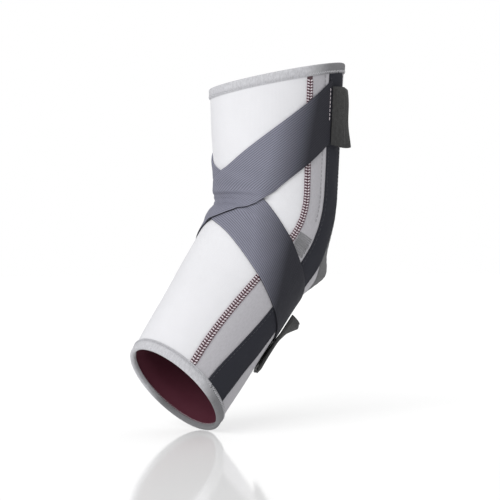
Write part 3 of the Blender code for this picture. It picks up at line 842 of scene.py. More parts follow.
def panel_height(along, angle):
    """The panels lie flat, and are drawn down where they are sewn and folded at the crease."""
    by_seam = from_line(seam_line, along, angle)
    drawn = 0.0005 * bell(by_seam, 0.0022)
    drawn = drawn + 0.00012 * bell(by_seam, 0.006) * (1 + np.sin(along * 900 + 40 * by_seam))
    by_front = from_line(tape_front, along, angle)
    by_rear = from_line(tape_rear, along, angle)
    under = smooth((0.0012 - by_front) / 0.0012) * smooth((by_rear + 0.0012) / 0.0012)
    drawn = drawn + 0.0006 * under
    return ease(along, angle) - drawn


# the stitching that holds the stay's channel, just in front of the tape
channel_line = beside(tape_front, 0.0052)

# the side edges of the rear panels and the cup, tucked under the tapes
REAR_EDGES = (beside(tape_rear, 0.002, LATERAL), beside(tape_rear, 0.002, MEDIAL))


def side_height(along, angle):
    by_channel = from_line(channel_line, along, angle)
    held = 0.0003 * bell(by_channel, 0.0012) * smooth((along + 0.004) / 0.004)
    full = 0.0005 * bell(by_channel + 0.0028, 0.0014) * smooth((along + 0.004) / 0.004)
    return panel_height(along, angle) - held + full


class SLEEVE_OT_body_panels(Operator):
    """Makes the front, side and rear panels of the sleeve"""

    bl_idname = "sleeve.body_panels"
    bl_label = "Body panels"

    def execute(self, context):
        edges = (beside(seam_line, SEAM_GAP, MEDIAL, -360), beside(seam_line, SEAM_GAP, LATERAL))
        front = patch(
            "front_panel", edges, (panel_cuff, panel_top), 72, 112, panel_height, PANEL_THICKNESS
        )
        finish(
            front, front_cloth(), "white_fabric",
            "upper_front_panel", "forearm_front_panel", "crease_insert",
        )
        for side, word in SIDES:
            edges = (
                beside(tape_front, -SIDE_UNDER_TAPE, side),
                beside(seam_line, -SEAM_GAP, side),
            )
            panel = patch(
                f"{word}_side_panel", edges, (panel_cuff, panel_top), 20, 120, side_height,
                SIDE_PANEL_THICKNESS,
            )
            finish(
                panel, side_cloth(), "grey_fabric",
                f"upper_{word}_panel", f"{word}_elbow_gusset", f"forearm_{word}_panel",
            )

        above_cup = (lambda angle: cup_top(angle) + CUP_GAP, panel_top)
        below_cup = (panel_cuff, lambda angle: cup_bottom(angle) - CUP_GAP)
        for limb, ends, rows in (("upper", above_cup, 44), ("forearm", below_cup, 56)):
            panel = patch(
                f"{limb}_rear_cloth", REAR_EDGES, ends, 44, rows, panel_height, PANEL_THICKNESS
            )
            finish(panel, side_cloth(), "grey_fabric", f"{limb}_rear_panel")
        return {"FINISHED"}


# ---------------------------------------------------------------- elbow cup
class SLEEVE_OT_elbow_cup(Operator):
    """Makes the knitted elbow cup and the cushion behind it"""

    bl_idname = "sleeve.elbow_cup"
    bl_label = "Elbow cup"

    def execute(self, context):
        def height(along, angle):
            """Quilted rows across the cup, and a sewn-down border above and below."""
            top, bottom = cup_top(angle), cup_bottom(angle)
            share = (along - bottom) / np.maximum(top - bottom, 1e-6)
            border = bell(share, 0.05) + bell(share - 1, 0.05)
            rows = 0.00035 * np.abs(np.sin(along * 900)) * bell(turn_from(angle, 0), 26)
            return rows - 0.0006 * border + panel_height(along, angle) * 0.4

        cup = patch(
            "elbow_cup_knit", REAR_EDGES,
            (lambda angle: cup_bottom(angle) + CUP_GAP, lambda angle: cup_top(angle) - CUP_GAP),
            56, 60, height, CUP_THICKNESS,
        )
        finish(cup, cup_cloth(), "cup_knit", "elbow_cup")

        half_angle, reach = 30.0, 0.0128

        def rim(sign):
            return lambda angle: CUP_AT + sign * reach * np.cos(np.radians(angle * 60 / half_angle))

        cushion = cloth("elbow_cushion_foam", 24, 16)

        def locate(x, y):
            return settle(x, y, always(-half_angle), always(half_angle), rim(-1), rim(1))

        flat = corners_of(cushion)
        edit(cushion)
        bpy.ops.mesh.select_all(action="SELECT")
        bpy.ops.mesh.extrude_region_move(TRANSFORM_OT_translate={"value": (0, 0, -1)})
        end_edit()

        def place(x, y, z):
            along, angle = locate(x, y)
            outer = surface(along, angle, CUSHION_OUTER)
            inner = surface(along, angle, LINING_OUTER + 0.0006, 0.0)
            return outer + (inner - outer) * np.clip(-z, 0, 1)[:, None]

        lay(cushion, place, lambda x, y: np.stack([x * 0.05, y * 0.03], -1))
        round_edges(cushion, 0.0004, 50)
        finish(cushion, foam(), "foam", "elbow_cushion")
        return {"FINISHED"}


# ---------------------------------------------------------------- lining
class SLEEVE_OT_lining(Operator):
    """Makes the lining that runs through the whole sleeve"""

    bl_idname = "sleeve.lining"
    bl_label = "Lining"

    def execute(self, context):
        lining = cloth("sleeve_lining", 96, 104)

        def locate(x, y):
            angle = -180 + 360 * x
            return mix(panel_cuff(angle), panel_top(angle), y), angle

        def place(x, y, z):
            along, angle = locate(x, y)
            soft = 0.0004 * np.sin(along * 150 + 2 * np.sin(np.radians(angle))) - 0.0004
            from_end = np.minimum(panel_top(angle) - along, along - panel_cuff(angle))
            inside = smooth(from_end / LINING_END_REACH)
            height = mix(LINING_END_OUTER, LINING_OUTER + soft, inside)
            return surface(along, angle, height + z, 0.0)

        lay(lining, place, grain_at(locate))
        weld(lining)
        thicken(lining, LINING_THICKNESS)
        finish(
            lining, lining_cloth(), "lining", "upper_lining", "elbow_lining", "forearm_lining"
        )
        return {"FINISHED"}


def weld(piece):
    """Closes a ring where its first and last columns meet."""
    edit(piece, "VERT")
    bpy.ops.mesh.select_all(action="SELECT")
    bpy.ops.mesh.remove_doubles(threshold=1e-5)
    end_edit()


# ---------------------------------------------------------------- bindings
class SLEEVE_OT_bindings(Operator):
    """Makes the knit bindings round both open ends, and their cover stitches"""

    bl_idname = "sleeve.bindings"
    bl_label = "Bindings"

    def execute(self, context):
        for name, node, edge, inwards in (
            ("top_binding_knit", "top_binding", top_edge, -1),
            ("cuff_binding_knit", "cuff_binding", cuff_edge, 1),
        ):
            make_binding(name, node, edge, inwards)
        return {"FINISHED"}


def make_binding(name, node, edge, inwards):
    middle = (BINDING_OUTER + BINDING_INNER) / 2
    radius = (BINDING_OUTER - BINDING_INNER) / 2
    leg = BINDING_WIDTH - radius
    turn_length = math.pi * radius
    whole = leg + turn_length + BINDING_INNER_WIDTH - radius
    binding = cloth(name, 168, 30)

    def fold(along_profile):
        """The height and the distance below the edge at a length along the folded strip."""
        length = along_profile * whole
        turn = np.clip((length - leg) / turn_length, 0, 1) * math.pi
        down = radius - radius * np.sin(turn)
        down = down + np.maximum(leg - length, 0) + np.maximum(length - leg - turn_length, 0)
        height = middle + radius * np.cos(turn)
        outside = smooth((leg - length) / leg)
        sewn = bell(length - 0.0016, 0.0007)
        return down, height - (0.0002 + 0.0002 * sewn) * outside

    def place(x, y, z):
        angle = -180 + 360 * x
        down, height = fold(y)
        pucker = 0.00012 * np.sin(np.radians(angle) * 70) * smooth((down - radius) / 0.004)
        return surface(edge(angle) + inwards * down, angle, height + pucker + z, 0.0)

    def grain(x, y):
        return np.stack([x * RING_GRAIN, y * whole], -1)

    lay(binding, place, grain)
    weld(binding)
    thicken(binding, BINDING_THICKNESS, rim=0.0002)
    finish(binding, binding_cloth(), "binding", node)

    # cover stitches: a zigzag over the strip's cut edge, outside and inside
    zigzag(f"{name}_cover_stitch", edge, inwards, BINDING_WIDTH - 0.0015, BINDING_OUTER, 1)
    for row in range(3):
        below = BINDING_INNER_WIDTH + 0.0006 + row * 0.0017
        zigzag(f"{name}_inner_stitch_{row + 1}", edge, inwards, below, LINING_END_OUTER, -1)


def zigzag(name, edge, inwards, below, level, out):
    count = 150
    step = 1.0 / count
    legs = []
    for lean in (-1, 1):
        radius = 0.00020 if out > 0 else 0.00013
        one = stitch(f"{name}_leg", 0.0024, radius, 0.00018, tilt=lean * math.radians(58), sides=5)
        flat = corners_of(one)
        flat[:, 0] = flat[:, 0] / RING_GRAIN + step * (0.25 if lean < 0 else 0.75)
        put_corners(one, flat)
        legs.append(repeat(one, count, (step, 0, 0)))
    cover = join(name, legs)
    base = level if out > 0 else level - LINING_THICKNESS

    def on_edge(x, y, z):
        angle = -180 + 360 * x
        return surface(edge(angle) + inwards * (below + y), angle, base + out * z, 0.0)

    lay(cover, on_edge)
    yarn = thread("Binding thread", "binding") if out > 0 else thread("White thread", "looper")
    finish(cover, yarn, "binding")


# ---------------------------------------------------------------- tapes
class SLEEVE_OT_edge_tapes(Operator):
    """Makes the long tapes on both sides, with their edge stitching"""

    bl_idname = "sleeve.edge_tapes"
    bl_label = "Edge tapes"

    def execute(self, context):
        for side, word in SIDES:
            tape = cloth(f"{word}_tape_webbing", 26, 136)

            def locate(x, y, side=side):
                return settle(
                    x, y, lambda along: side * tape_front(along),
                    lambda along: side * tape_rear(along), panel_cuff, panel_top,
                )

            def place(x, y, z, locate=locate):
                along, angle = locate(x, y)
                edge = np.minimum(x, 1 - x) * TAPE_WIDTH
                rise = 0.00055 * smooth(edge / 0.0012) - 0.0001
                rise = rise - 0.0002 * bell(edge - 0.002, 0.0006)
                rise = rise + 0.00015 * np.sin(along * 210 + x * 5)
                return surface(along, angle, rise + z)

            def grain(x, y, locate=locate):
                along, _ = locate(x, y)
                return np.stack([x * TAPE_WIDTH, along], -1)

            lay(tape, place, grain)
            thicken(tape, 0.0008, rim=0.0002)
            finish(tape, tape_webbing(), "edge_tape", f"{word}_edge_tape")
            for edge_word, across in (("front", 0.002), ("rear", TAPE_WIDTH - 0.002)):

                def tape_spot(along, across=across):
                    share = across / TAPE_WIDTH
                    return mix(tape_front(along), tape_rear(along), share)

                running_stitches(
                    f"{word}_tape_{edge_word}_stitches", side, tape_spot, 0.00042,
                    open_reach(side, tape_spot), thread("Charcoal thread", "tape"), "edge_tape",
                )
        return {"FINISHED"}


def running_stitches(name, side, line, level, reach, yarn, slot):
    """A row of lockstitches along a line of the sleeve."""
    low, high = reach
    pitch = LOCKSTITCH_PITCH
    one = stitch(name, pitch * 0.72, SEAM_THREAD, 0.00012, tilt=math.radians(90), sides=5)
    row = repeat(one, int((high - low) / pitch), (0, pitch, 0))

    def place(x, y, z):
        along = low + pitch / 2 + y
        middle = line(along)
        angle = side * (middle + degrees_for(x, along, middle))
        return surface(along, angle, level + z)

    lay(row, place)
    return finish(row, yarn, slot)


# ---------------------------------------------------------------- flatlock seams
class SLEEVE_OT_flatlock_seams(Operator):
    """Makes the flatlock seams between the front and side panels"""

    bl_idname = "sleeve.flatlock_seams"
    bl_label = "Flatlock seams"

    def execute(self, context):
        sizes = context.scene.sleeve_sizes
        pitch = sizes.stitch_pitch
        for side, word in SIDES:

            def place(x, y, z, side=side):
                along = y
                middle = seam_line(along)
                return surface(along, side * (middle + degrees_for(x, along, middle)), z)

            start, stop = open_reach(side, seam_line)
            # The bed's dark colour is painted shade: the shadowed cloth between the seam's loops
            bed = cloth(f"{word}_seam_bed", 8, 120)

            def bed_place(x, y, z, place=place, start=start, stop=stop):
                across = (x - 0.5) * (SEAM_WIDTH - 0.0004)
                crown = 0.00012 - 0.0003 * np.abs(x * 2 - 1) ** 3
                return place(across, mix(start - 0.006, stop + 0.006, y), crown + z)

            lay(
                bed, bed_place,
                lambda x, y, a=start, b=stop: np.stack([x * SEAM_WIDTH, mix(a, b, y)], -1),
            )
            thicken(bed, 0.0005, rim=0.0001)
            finish(bed, thread("Seam ground", "ground"), "seam_thread", f"{word}_flatlock_seam")

            # white looper bars in two columns, between three burgundy needle rows
            bars = []
            for across, length, lean in ((0.00125, 0.0027, 16), (-0.00130, 0.0024, -32)):
                bar = stitch(
                    f"{word}_bar", length, SEAM_BAR, 0.00022, tilt=math.radians(lean), sides=6
                )
                shift(bar, (across, start + pitch / 2, 0.00005))
                bars.append(repeat(bar, int((stop - start) / pitch), (0, pitch, 0)))
            loops = join(f"{word}_seam_loops", bars)
            lay(loops, place)
            finish(loops, thread("White thread", "looper"), "seam_thread")

            rows = []
            for across in (-0.00245, -0.0001, 0.00245):
                needle = stitch(
                    f"{word}_needle", pitch * 0.9, SEAM_THREAD, 0.00034, tilt=math.radians(90),
                    sides=5,
                )
                shift(needle, (across, start + pitch, 0.0001))
                rows.append(repeat(needle, int((stop - start) / pitch) - 1, (0, pitch, 0)))
            needles = join(f"{word}_seam_needle_rows", rows)
            lay(needles, place)
            finish(needles, thread("Burgundy thread", "needle"), "seam_thread")
        return {"FINISHED"}


# ---------------------------------------------------------------- stays and tacks
class SLEEVE_OT_stay_channels(Operator):
    """Makes the spiral stays, the channels' stitching and the tacks that close them"""

    bl_idname = "sleeve.stay_channels"
    bl_label = "Stay channels"

    def execute(self, context):
        for side, word in SIDES:
            running_stitches(
                f"{word}_channel_stitches", side, channel_line, 0.00005,
                (0.0, open_reach(side, channel_line)[1]), thread("Grey thread", "channel"),
                "grey_fabric",
            )
            make_stay(side, word)
            make_tack(side, word)
        return {"FINISHED"}


def stay_middle(along):
    seam = seam_line(along)
    rear = seam - degrees_for(SEAM_WIDTH / 2, along, seam)
    return (tape_front(along) + rear) / 2


def make_stay(side, word):
    """A flattened wire coil."""
    stay = cloth(f"{word}_stay_coil", 8, 240)
    width, thickness = 0.0058, 0.0009
    margin = 0.0212

    def place(x, y, z):
        angle = np.full_like(x, side * 85.0)
        for _ in range(6):
            along = mix(cuff_edge(angle) + margin, top_edge(angle) - margin, y)
            middle = stay_middle(along)
            angle = side * (middle + degrees_for((x - 0.5) * width, along, middle))
        coil = 0.00012 * np.sin(y * 2 * math.pi * 110 + x * math.pi)
        return surface(along, angle, -0.0014 + coil + z)

    lay(stay, place, lambda x, y: np.stack([x * width, y * 0.22], -1))
    thicken(stay, thickness, rim=0.00015)
    finish(stay, spring_steel(), "stay_steel", f"{word}_spiral_stay")


def make_tack(side, word):
    """A dense tack across the channel: close rows of small slanting stitches."""
    angle_mid, reach, count = 82.0, 0.0140, 14
    rows = []
    for row in range(11):
        lean = 62 if row % 2 else 118
        one = stitch(f"{word}_tack", 0.0016, 0.00026, 0.00014, tilt=math.radians(lean), sides=5)
        shift(one, (-reach / 2 + 0.0004 * (row % 3), -0.0255 + row * 0.0014, 0))
        rows.append(repeat(one, count, (reach / count, 0, 0)))
    tack = join(f"{word}_channel_tack", rows)

    def place(x, y, z):
        angle = side * (angle_mid + degrees_for(x, y, angle_mid))
        return surface(y, angle, 0.0001 + z)

    lay(tack, place)
    finish(tack, thread("Grey thread", "channel"), "edge_tape", f"{word}_bartack")


# ---------------------------------------------------------------- straps
def slopes(along, angle):
    little, turn = 0.0005, 0.5
    lengthwise = (surface(along + little, angle) - surface(along - little, angle)) / (2 * little)
    roundwise = (surface(along, angle + turn) - surface(along, angle - turn)) / (2 * turn)
    return lengthwise, roundwise


def dot(a, b):
    return (a * b).sum(-1)


def unit(a):
    return a / np.linalg.norm(a, axis=-1, keepdims=True)


def step_on(along, angle, heading, distance):
    """Goes a short distance over the surface in a heading: the new places and headings."""
    lengthwise, roundwise = slopes(along, angle)
    normal = unit(np.cross(lengthwise, roundwise))
    heading = unit(heading - normal * dot(heading, normal)[..., None])
    ll, lr = dot(lengthwise, lengthwise), dot(lengthwise, roundwise)
    rr = dot(roundwise, roundwise)
    hl, hr = dot(heading, lengthwise), dot(heading, roundwise)
    area = ll * rr - lr * lr
    along = along + distance * (hl * rr - hr * lr) / area
    angle = angle + distance * (hr * ll - hl * lr) / area
    return along, angle, heading


def strap_route(start, slope):
    """A strap's middle line, which runs straight on over the sleeve, every 2 mm."""
    angle, along = np.array([start[0]]), np.array([start[1]])
    lengthwise, roundwise = slopes(along, angle)
    forwards = -unit(roundwise)
    upwards = unit(lengthwise - forwards * dot(lengthwise, forwards)[..., None])
    heading = forwards * math.cos(slope) + upwards * math.sin(slope)
    for _ in range(4):
        along, angle, heading = step_on(along, angle, heading, -STRAP_ROOM / 4)
    route = [(along, angle, heading)]
    for _ in range(round(STRAP_REACH / ROUTE_STEP)):
        along, angle, heading = step_on(along, angle, heading, ROUTE_STEP)
        route.append((along, angle, heading))
    return [np.concatenate(part) for part in zip(*route, strict=True)]


def strap_line(route, across):
    """The line at a distance across the strap from its middle, upwards if positive."""
    along, angle, ahead = route
    lengthwise, roundwise = slopes(along, angle)
    aside = unit(np.cross(unit(np.cross(lengthwise, roundwise)), ahead))
    aside = np.where((dot(aside, lengthwise) < 0)[:, None], -aside, aside)
    for _ in range(12):
        along, angle, aside = step_on(along, angle, aside, across / 12)
    return evened(along), evened(angle)


def evened(values, reach=10):
    """Irons out the small steps in a line, over this many of its points on each side."""
    window = np.hanning(2 * reach + 1)
    longer = np.pad(values, reach, mode="reflect", reflect_type="odd")
    return np.convolve(longer, window / window.sum(), mode="valid")


def over_seams(along, angle):
    """How much a strap is lifted where it passes over a seam or a tape edge."""
    by_seam = from_line(seam_line, along, angle)
    on_tape = smooth((0.002 - from_line(tape_front, along, angle)) / 0.003)
    on_tape = on_tape * smooth((0.002 + from_line(tape_rear, along, angle)) / 0.003)
    return 0.0006 * bell(by_seam, 0.0045) + 0.0003 * on_tape


def under_strap(along, angle, route):
    """The share of a crossing strap's thickness that lies under these places."""
    there = surface(along, angle)
    line = surface(route[0], route[1])
    gap = np.linalg.norm(there[:, None, :] - line[None, :, :], axis=2).min(1)
    return smooth((STRAP_WIDTH / 2 + 0.0075 - gap) / 0.0065)


class SLEEVE_OT_cross_straps(Operator):
    """Makes the two elastic straps that cross over the crease, and their end patches"""

    bl_idname = "sleeve.cross_straps"
    bl_label = "Cross straps"

    def execute(self, context):
        thickness = context.scene.sleeve_sizes.strap_thickness
        inner_route = strap_route(*INNER_STRAP)
        outer_route = strap_route(*OUTER_STRAP)
        make_strap(
            "inner_strap_webbing", "inner_cross_strap", INNER_STRAP, inner_route, thickness, None
        )
        make_strap(
            "outer_strap_webbing", "outer_cross_strap", OUTER_STRAP, outer_route, thickness,
            inner_route,
        )
        for name, route in (("lower", outer_route), ("upper", inner_route)):
            end = np.interp(-STRAP_LAST_ANGLE, -route[1], route[0])
            make_anchor(name, end)
        running_stitches(
            "outer_strap_root_stitches", LATERAL, always(71.6),
            STRAP_CLEARANCE + thickness + 0.0003, (0.0765, 0.1035),
            thread("White thread", "looper"), "strap_webbing",
        )
        return {"FINISHED"}


def make_strap(name, node, start, route, thickness, crossed):
    rows, columns = 32, 150
    distances = np.arange(len(route[0])) * ROUTE_STEP
    lines = []
    for row in range(rows + 1):
        across = STRAP_WIDTH * (row / rows - 0.5)
        along, angle = strap_line(route, across)
        first = np.interp(-start[0][0], -angle, distances)
        last = np.interp(-STRAP_LAST_ANGLE, -angle, distances)
        share = first + (last - first) * np.linspace(0, 1, columns + 1)
        lines.append([*(np.interp(share, distances, line) for line in (along, angle)), share])
    grid = np.array(lines)
    piece = cloth(name, columns, rows)

    def locate(x, y):
        column = np.clip(np.rint(x * columns).astype(int), 0, columns)
        row = np.clip(np.rint(y * rows).astype(int), 0, rows)
        return grid[row, 0, column], grid[row, 1, column], grid[row, 2, column]

    def spot(x, y, z):
        along, angle, _ = locate(x, y)
        edge = np.minimum(y, 1 - y) * STRAP_WIDTH
        height = STRAP_CLEARANCE + thickness + over_seams(along, angle) + ease(along, angle)
        height = height - 0.00025 * bell(edge, 0.0008)
        if crossed is not None:
            lift = thickness + 0.0006
            height = height + lift * under_strap(along, angle, crossed)
        return surface(along, angle, height + z)

    flat = corners_of(piece)
    along, angle, distance = locate(flat[:, 0], flat[:, 1])
    draw_grain(piece, np.stack([flat[:, 1] * STRAP_WIDTH, distance], -1))
    put_corners(piece, spot(flat[:, 0], flat[:, 1], flat[:, 2]))
    # the strap runs against the angle, which leaves its faces turned inwards
    turn_faces(piece)
    thicken(piece, thickness, rim=0.0003)
    finish(piece, strap_webbing(), "strap_webbing", node)


def make_anchor(word, end):
    """A patch sewn over the inner end of a strap, with a box of stitches."""
    half_angle, half_length = 9.0, 0.024

    def height(along, angle):
        x = np.abs(turn_from(angle, STRAP_LAST_ANGLE)) / half_angle
        y = np.abs(along - end) / half_length
        return ANCHOR_LEVEL - 0.0004 * smooth((np.maximum(x, y) - 0.8) / 0.2)

    anchor = patch(
        f"{word}_anchor_patch",
        (always(STRAP_LAST_ANGLE - half_angle), always(STRAP_LAST_ANGLE + half_angle)),
        (always(end - half_length), always(end + half_length)),
        14, 40, height, 0.0009,
    )
    finish(anchor, tape_webbing(), "strap_webbing", f"{word}_strap_anchor")
    runs = []
    inset_angle, inset = half_angle - 2.6, half_length - 0.003
    width = float(np.radians(inset_angle * 2) * 0.045)
    for y in (-inset, inset):
        one = stitch(f"{word}_box", 0.0021, SEAM_THREAD, 0.00012, sides=5)
        shift(one, (-width / 2 + 0.0012, y, 0))
        runs.append(repeat(one, int(width / 0.0028), (0.0028, 0, 0)))
    for x in (-width / 2, width / 2):
        one = stitch(f"{word}_box", 0.0021, SEAM_THREAD, 0.00012, tilt=math.radians(90), sides=5)
        shift(one, (x, -inset + 0.0016, 0))
        runs.append(repeat(one, int(inset * 2 / 0.0029), (0, 0.0029, 0)))
    box = join(f"{word}_anchor_stitches", runs)

    def place(x, y, z):
        along = end + y
        angle = STRAP_LAST_ANGLE + degrees_for(x, along, STRAP_LAST_ANGLE)
        return surface(along, angle, ANCHOR_LEVEL + z)

    lay(box, place)
    finish(box, thread("Grey thread", "channel"), "strap_webbing")


# ---------------------------------------------------------------- tabs
class SLEEVE_OT_hook_tabs(Operator):
    """Makes the hook tabs on the straps' ends and the velour patches under them"""

    bl_idname = "sleeve.hook_tabs"
    bl_label = "Hook tabs"

    def execute(self, context):
        for word, limits, lifts in (
            ("upper", UPPER_TAB, UPPER_TAB_LIFTS),
            ("lower", LOWER_TAB, LOWER_TAB_LIFTS),
        ):
            make_tab(word, limits, lifts)
        for word, first, last, limits in (
            ("upper", -39.0, 4.0, UPPER_TAB),
            ("lower", -21.0, 15.0, LOWER_TAB),
        ):
            loops = patch(
                f"{word}_loop_velour", (always(first), always(last)),
                (always(limits[2] + 0.002), always(limits[3] - 0.002)),
                28, 30, always(0.0011), 0.0012,
            )
            finish(loops, velour(), "velour", f"{word}_loop_patch")
        return {"FINISHED"}


def tab_surface(limits, lifts, angle, up, height):
    """A point of a tab, whose free end stands off the sleeve and has drawn-in corners."""
    root, end, low, high = limits
    share = np.clip((angle - root) / (end - root), 0, 1)
    drawn = 0.5 + (up - 0.5) * (1 + 0.12 * share - 0.12 * share**4)
    lift = (mix(lifts[0], lifts[1], up) - lifts[2] * 4 * up * (1 - up)) * share**1.1
    wave = 0.0006 * np.sin(up * 7.0 + share * 2.0) * share
    return surface(mix(low, high, drawn), angle, height + lift + wave, 0.0)


def make_tab(word, limits, lifts):
    root, end = limits[:2]
    length = float(np.radians(end - root) * 0.047)
    wide = limits[3] - limits[2]
    body = f"{word}_tab"
    layers = (
        ("pad", root, end - HOOK_RIM, TAB_BASE + 0.0012, 0.0012, velour(), "velour"),
        ("hook", root + 7.5, end, TAB_BASE - 0.0003, 0.0009, hook_tape(), "hook"),
    )
    for layer, first, last, outside, thickness, finish_look, slot in layers:
        piece = cloth(f"{word}_tab_{layer}_cloth", 30, 36)

        def place(x, y, z, first=first, last=last, outside=outside, layer=layer):
            angle = mix(first, last, x)
            edge = np.minimum(np.minimum(x, 1 - x) * length, np.minimum(y, 1 - y) * wide)
            crown = 0.0011 * smooth(edge / 0.0035) - 0.0003 if layer == "pad" else 0.0
            return tab_surface(limits, lifts, angle, y, outside + crown + z)

        lay(piece, place, lambda x, y: np.stack([x * length, y * wide], -1))
        thicken(piece, thickness, rim=0.0003)
        finish(piece, finish_look, slot, f"{word}_tab_{layer}", body=body)
    columns = []
    for across in (0.0016, 0.0030):
        one = stitch(f"{word}_root", 0.0024, 0.00024, 0.00014, tilt=math.radians(90), sides=5)
        shift(one, (across, 0.0030, 0))
        columns.append(repeat(one, int((wide - 0.005) / 0.0031), (0, 0.0031, 0)))
    sewing = join(f"{word}_tab_root_stitches", columns)

    def on_tab(x, y, z):
        angle = root + degrees_for(x, np.full_like(x, limits[2]), root)
        return tab_surface(limits, lifts, angle, y / wide, TAB_BASE + 0.0012 + z)

    lay(sewing, on_tab)
    finish(sewing, thread("Charcoal thread", "tape"), "velour", body=body)


# ---------------------------------------------------------------- the studio
class SLEEVE_OT_studio(Operator):
    """Sets up the floor, the lights and the camera"""

    bl_idname = "sleeve.studio"
    bl_label = "Studio"

    def execute(self, context):
        scene = context.scene
        settings = scene.sleeve_studio
        low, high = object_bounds()
        scene.view_settings.view_transform = "Standard"
        deselect()
        bpy.ops.mesh.primitive_plane_add(size=12, location=(0, 0, low.z - 0.0003))
        floor = start_piece("studio_floor")
        floor.data.materials.append(floor_look())
        floor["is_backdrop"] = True
        world = bpy.data.worlds.new("Studio")
        world.use_nodes = True
        background = world.node_tree.nodes["Background"]
        background.inputs["Color"].default_value = (1, 1, 1, 1)
        ray = world.node_tree.nodes.new("ShaderNodeLightPath")
        lighting = ray.outputs["Is Diffuse Ray"]
        strength = spread(world.node_tree, lighting, 0, 1, 1.0, settings.surround)
        world.node_tree.links.new(strength, background.inputs["Strength"])
        scene.world = world
        for name, kind, place, softness, power in (
            ("Key", "SUN", (-1.2, -0.5, 0.8), math.radians(50), settings.key_power),
            ("Fill", "AREA", (0.9, -1.3, 0.5), 1.2, settings.fill_power),
        ):
            bpy.ops.object.light_add(type=kind, location=place)
            lamp = context.object
            lamp.name = name
            if kind == "SUN":
                lamp.data.angle = softness
            else:
                lamp.data.size = softness
            lamp.data.energy = power
            lamp.rotation_mode = "QUATERNION"
            lamp.rotation_quaternion = (-Vector(place)).to_track_quat("-Z", "Y")
        add_camera(scene, settings)
        return {"FINISHED"}


def floor_look():
    made, _, shader = new_material("Studio floor")
    shader.inputs["Base Color"].default_value = (0.9, 0.9, 0.9, 1)
    shader.inputs["Emission Color"].default_value = (1, 1, 1, 1)
    shader.inputs["Emission Strength"].default_value = 0.2
    shader.inputs["Roughness"].default_value = 0.08
    return made


def add_camera(scene, settings):
    back = Vector(
        (
            math.sin(settings.azimuth) * math.cos(settings.elevation),
            -math.cos(settings.azimuth) * math.cos(settings.elevation),
            math.sin(settings.elevation),
        )
    )
    bpy.ops.object.camera_add(location=back * settings.distance)
    camera = bpy.context.object
    camera.name = "Camera"
    camera.data.sensor_width = 36
    camera.data.lens = settings.lens
    camera.data.shift_x = settings.shift_x
    camera.data.shift_y = settings.shift_y
    camera.data.clip_start = 0.01
    camera.rotation_mode = "QUATERNION"
    roll = Quaternion((0, 0, 1), settings.roll)
    camera.rotation_quaternion = (-back).to_track_quat("-Z", "Y") @ roll
    scene.camera = camera


# ---------------------------------------------------------------- settings
def colour(name, description, value):
    return FloatVectorProperty(
        name=name, description=description, default=value, subtype="COLOR", size=3, min=0, max=1
    )


def number(name, description, value, **kind):
    return FloatProperty(name=name, description=description, default=value, **kind)


def length(name, description, value):
    return number(name, description, value, subtype="DISTANCE", unit="LENGTH", precision=5)


def rotation(name, description, degrees):
    return number(name, description, math.radians(degrees), subtype="ANGLE")


class SleeveColours(PropertyGroup):
    """Colours of the fabrics and threads"""

    front: colour("Front", "Front panel", (0.75, 0.75, 0.775))
    side: colour("Sides", "Side and rear panels", (0.50, 0.49, 0.52))
    cup: colour("Cup", "Elbow cup", (0.15, 0.15, 0.155))
    lining: colour("Lining", "Lining", (0.078, 0.011, 0.024))
    binding: colour("Bindings", "Bindings of both ends", (0.64, 0.64, 0.67))
    tape: colour("Tapes", "Side tapes and their thread", (0.034, 0.035, 0.044))
    strap: colour("Straps", "Crossing straps", (0.034, 0.0345, 0.043))
    velour: colour("Velour", "Tab pads and loop patches", (0.050, 0.050, 0.050))
    hook: colour("Hook", "Hook tape", (0.008, 0.008, 0.008))
    needle: colour("Needle thread", "Burgundy thread of the seams", (0.11, 0.014, 0.036))
    # painted shade: the dark of the shadowed cloth between the seams' loops
    ground: colour("Seam ground", "Shadowed cloth between the seams' loops", (0.05, 0.010, 0.02))
    looper: colour("Looper thread", "White thread of the seams", (0.80, 0.72, 0.76))
    channel: colour("Grey thread", "Thread of channels, tacks and patches", (0.27, 0.27, 0.28))


class SleeveSizes(PropertyGroup):
    """Sizes of the stitches and straps"""

    stitch_pitch: length("Stitch pitch", "Length of one flatlock stitch", 0.0022)
    strap_thickness: length("Strap thickness", "Thickness of the elastic straps", 0.0012)


class SleeveStudio(PropertyGroup):
    """Lights and camera"""

    azimuth: rotation("Azimuth", "Camera's turn round the sleeve", -34.64)
    elevation: rotation("Elevation", "Camera's angle above the horizon", -1.87)
    roll: rotation("Roll", "Camera's turn about its own axis", 0.25)
    distance: length("Distance", "Camera's distance from the elbow", 0.89775)
    lens: number("Lens", "Focal length", 80.8, subtype="DISTANCE_CAMERA")
    shift_x: number("Shift X", "Sideways lens shift", -0.0523)
    shift_y: number("Shift Y", "Upward lens shift", -0.058)
    surround: number("Surround", "Strength of the white studio", 0.45)
    key_power: number("Key", "Strength of the soft main light", 2.1)
    fill_power: number("Fill", "Power of the fill light", 0.8, subtype="POWER")


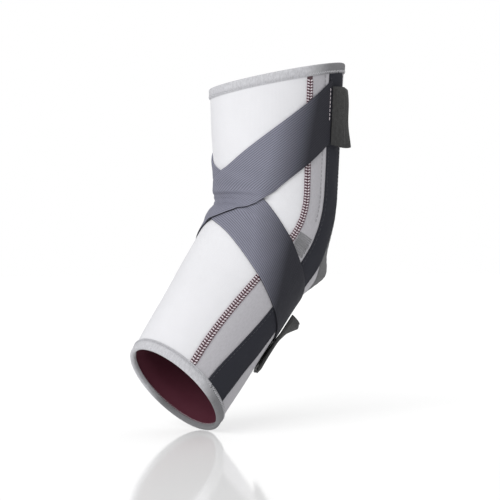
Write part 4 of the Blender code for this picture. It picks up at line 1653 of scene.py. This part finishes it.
PIECES = (
    SLEEVE_OT_body_panels,
    SLEEVE_OT_elbow_cup,
    SLEEVE_OT_lining,
    SLEEVE_OT_bindings,
    SLEEVE_OT_edge_tapes,
    SLEEVE_OT_flatlock_seams,
    SLEEVE_OT_stay_channels,
    SLEEVE_OT_cross_straps,
    SLEEVE_OT_hook_tabs,
    SLEEVE_OT_studio,
)


class SLEEVE_PT_sidebar(Panel):
    """Lists the sleeve's pieces and settings"""

    bl_idname = "SLEEVE_PT_sidebar"
    bl_label = "Elbow sleeve"
    bl_space_type = "VIEW_3D"
    bl_region_type = "UI"
    bl_category = "Elbow Sleeve"

    def draw(self, context):
        for piece in PIECES:
            self.layout.operator(piece.bl_idname)
        for group in ("sleeve_colours", "sleeve_sizes", "sleeve_studio"):
            settings = getattr(context.scene, group)
            box = self.layout.box()
            for name in settings.bl_rna.properties.keys():
                if name not in ("rna_type", "name"):
                    box.prop(settings, name)


CLASSES = (SleeveColours, SleeveSizes, SleeveStudio, *PIECES, SLEEVE_PT_sidebar)


def register():
    for made in CLASSES:
        bpy.utils.register_class(made)
    bpy.types.Scene.sleeve_colours = PointerProperty(type=SleeveColours)
    bpy.types.Scene.sleeve_sizes = PointerProperty(type=SleeveSizes)
    bpy.types.Scene.sleeve_studio = PointerProperty(type=SleeveStudio)


def unregister():
    del bpy.types.Scene.sleeve_studio
    del bpy.types.Scene.sleeve_sizes
    del bpy.types.Scene.sleeve_colours
    for made in reversed(CLASSES):
        bpy.utils.unregister_class(made)


def finish_frame_nodes():
    """The stay caps keep their CAD shape and get their plastic."""
    for _, word in SIDES:
        for level in ("upper", "lower"):
            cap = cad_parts[f"{word}_stay_{level}_cap"]
            for socket in cap.material_slots:
                socket.material = cap_plastic()


def main():
    register()
    finish_frame_nodes()
    for piece in PIECES:
        group, name = piece.bl_idname.split(".")
        if getattr(getattr(bpy.ops, group), name)() != {"FINISHED"}:
            raise RuntimeError(f"{piece.bl_label} wasn't made")


if __name__ == "__main__":
    main()
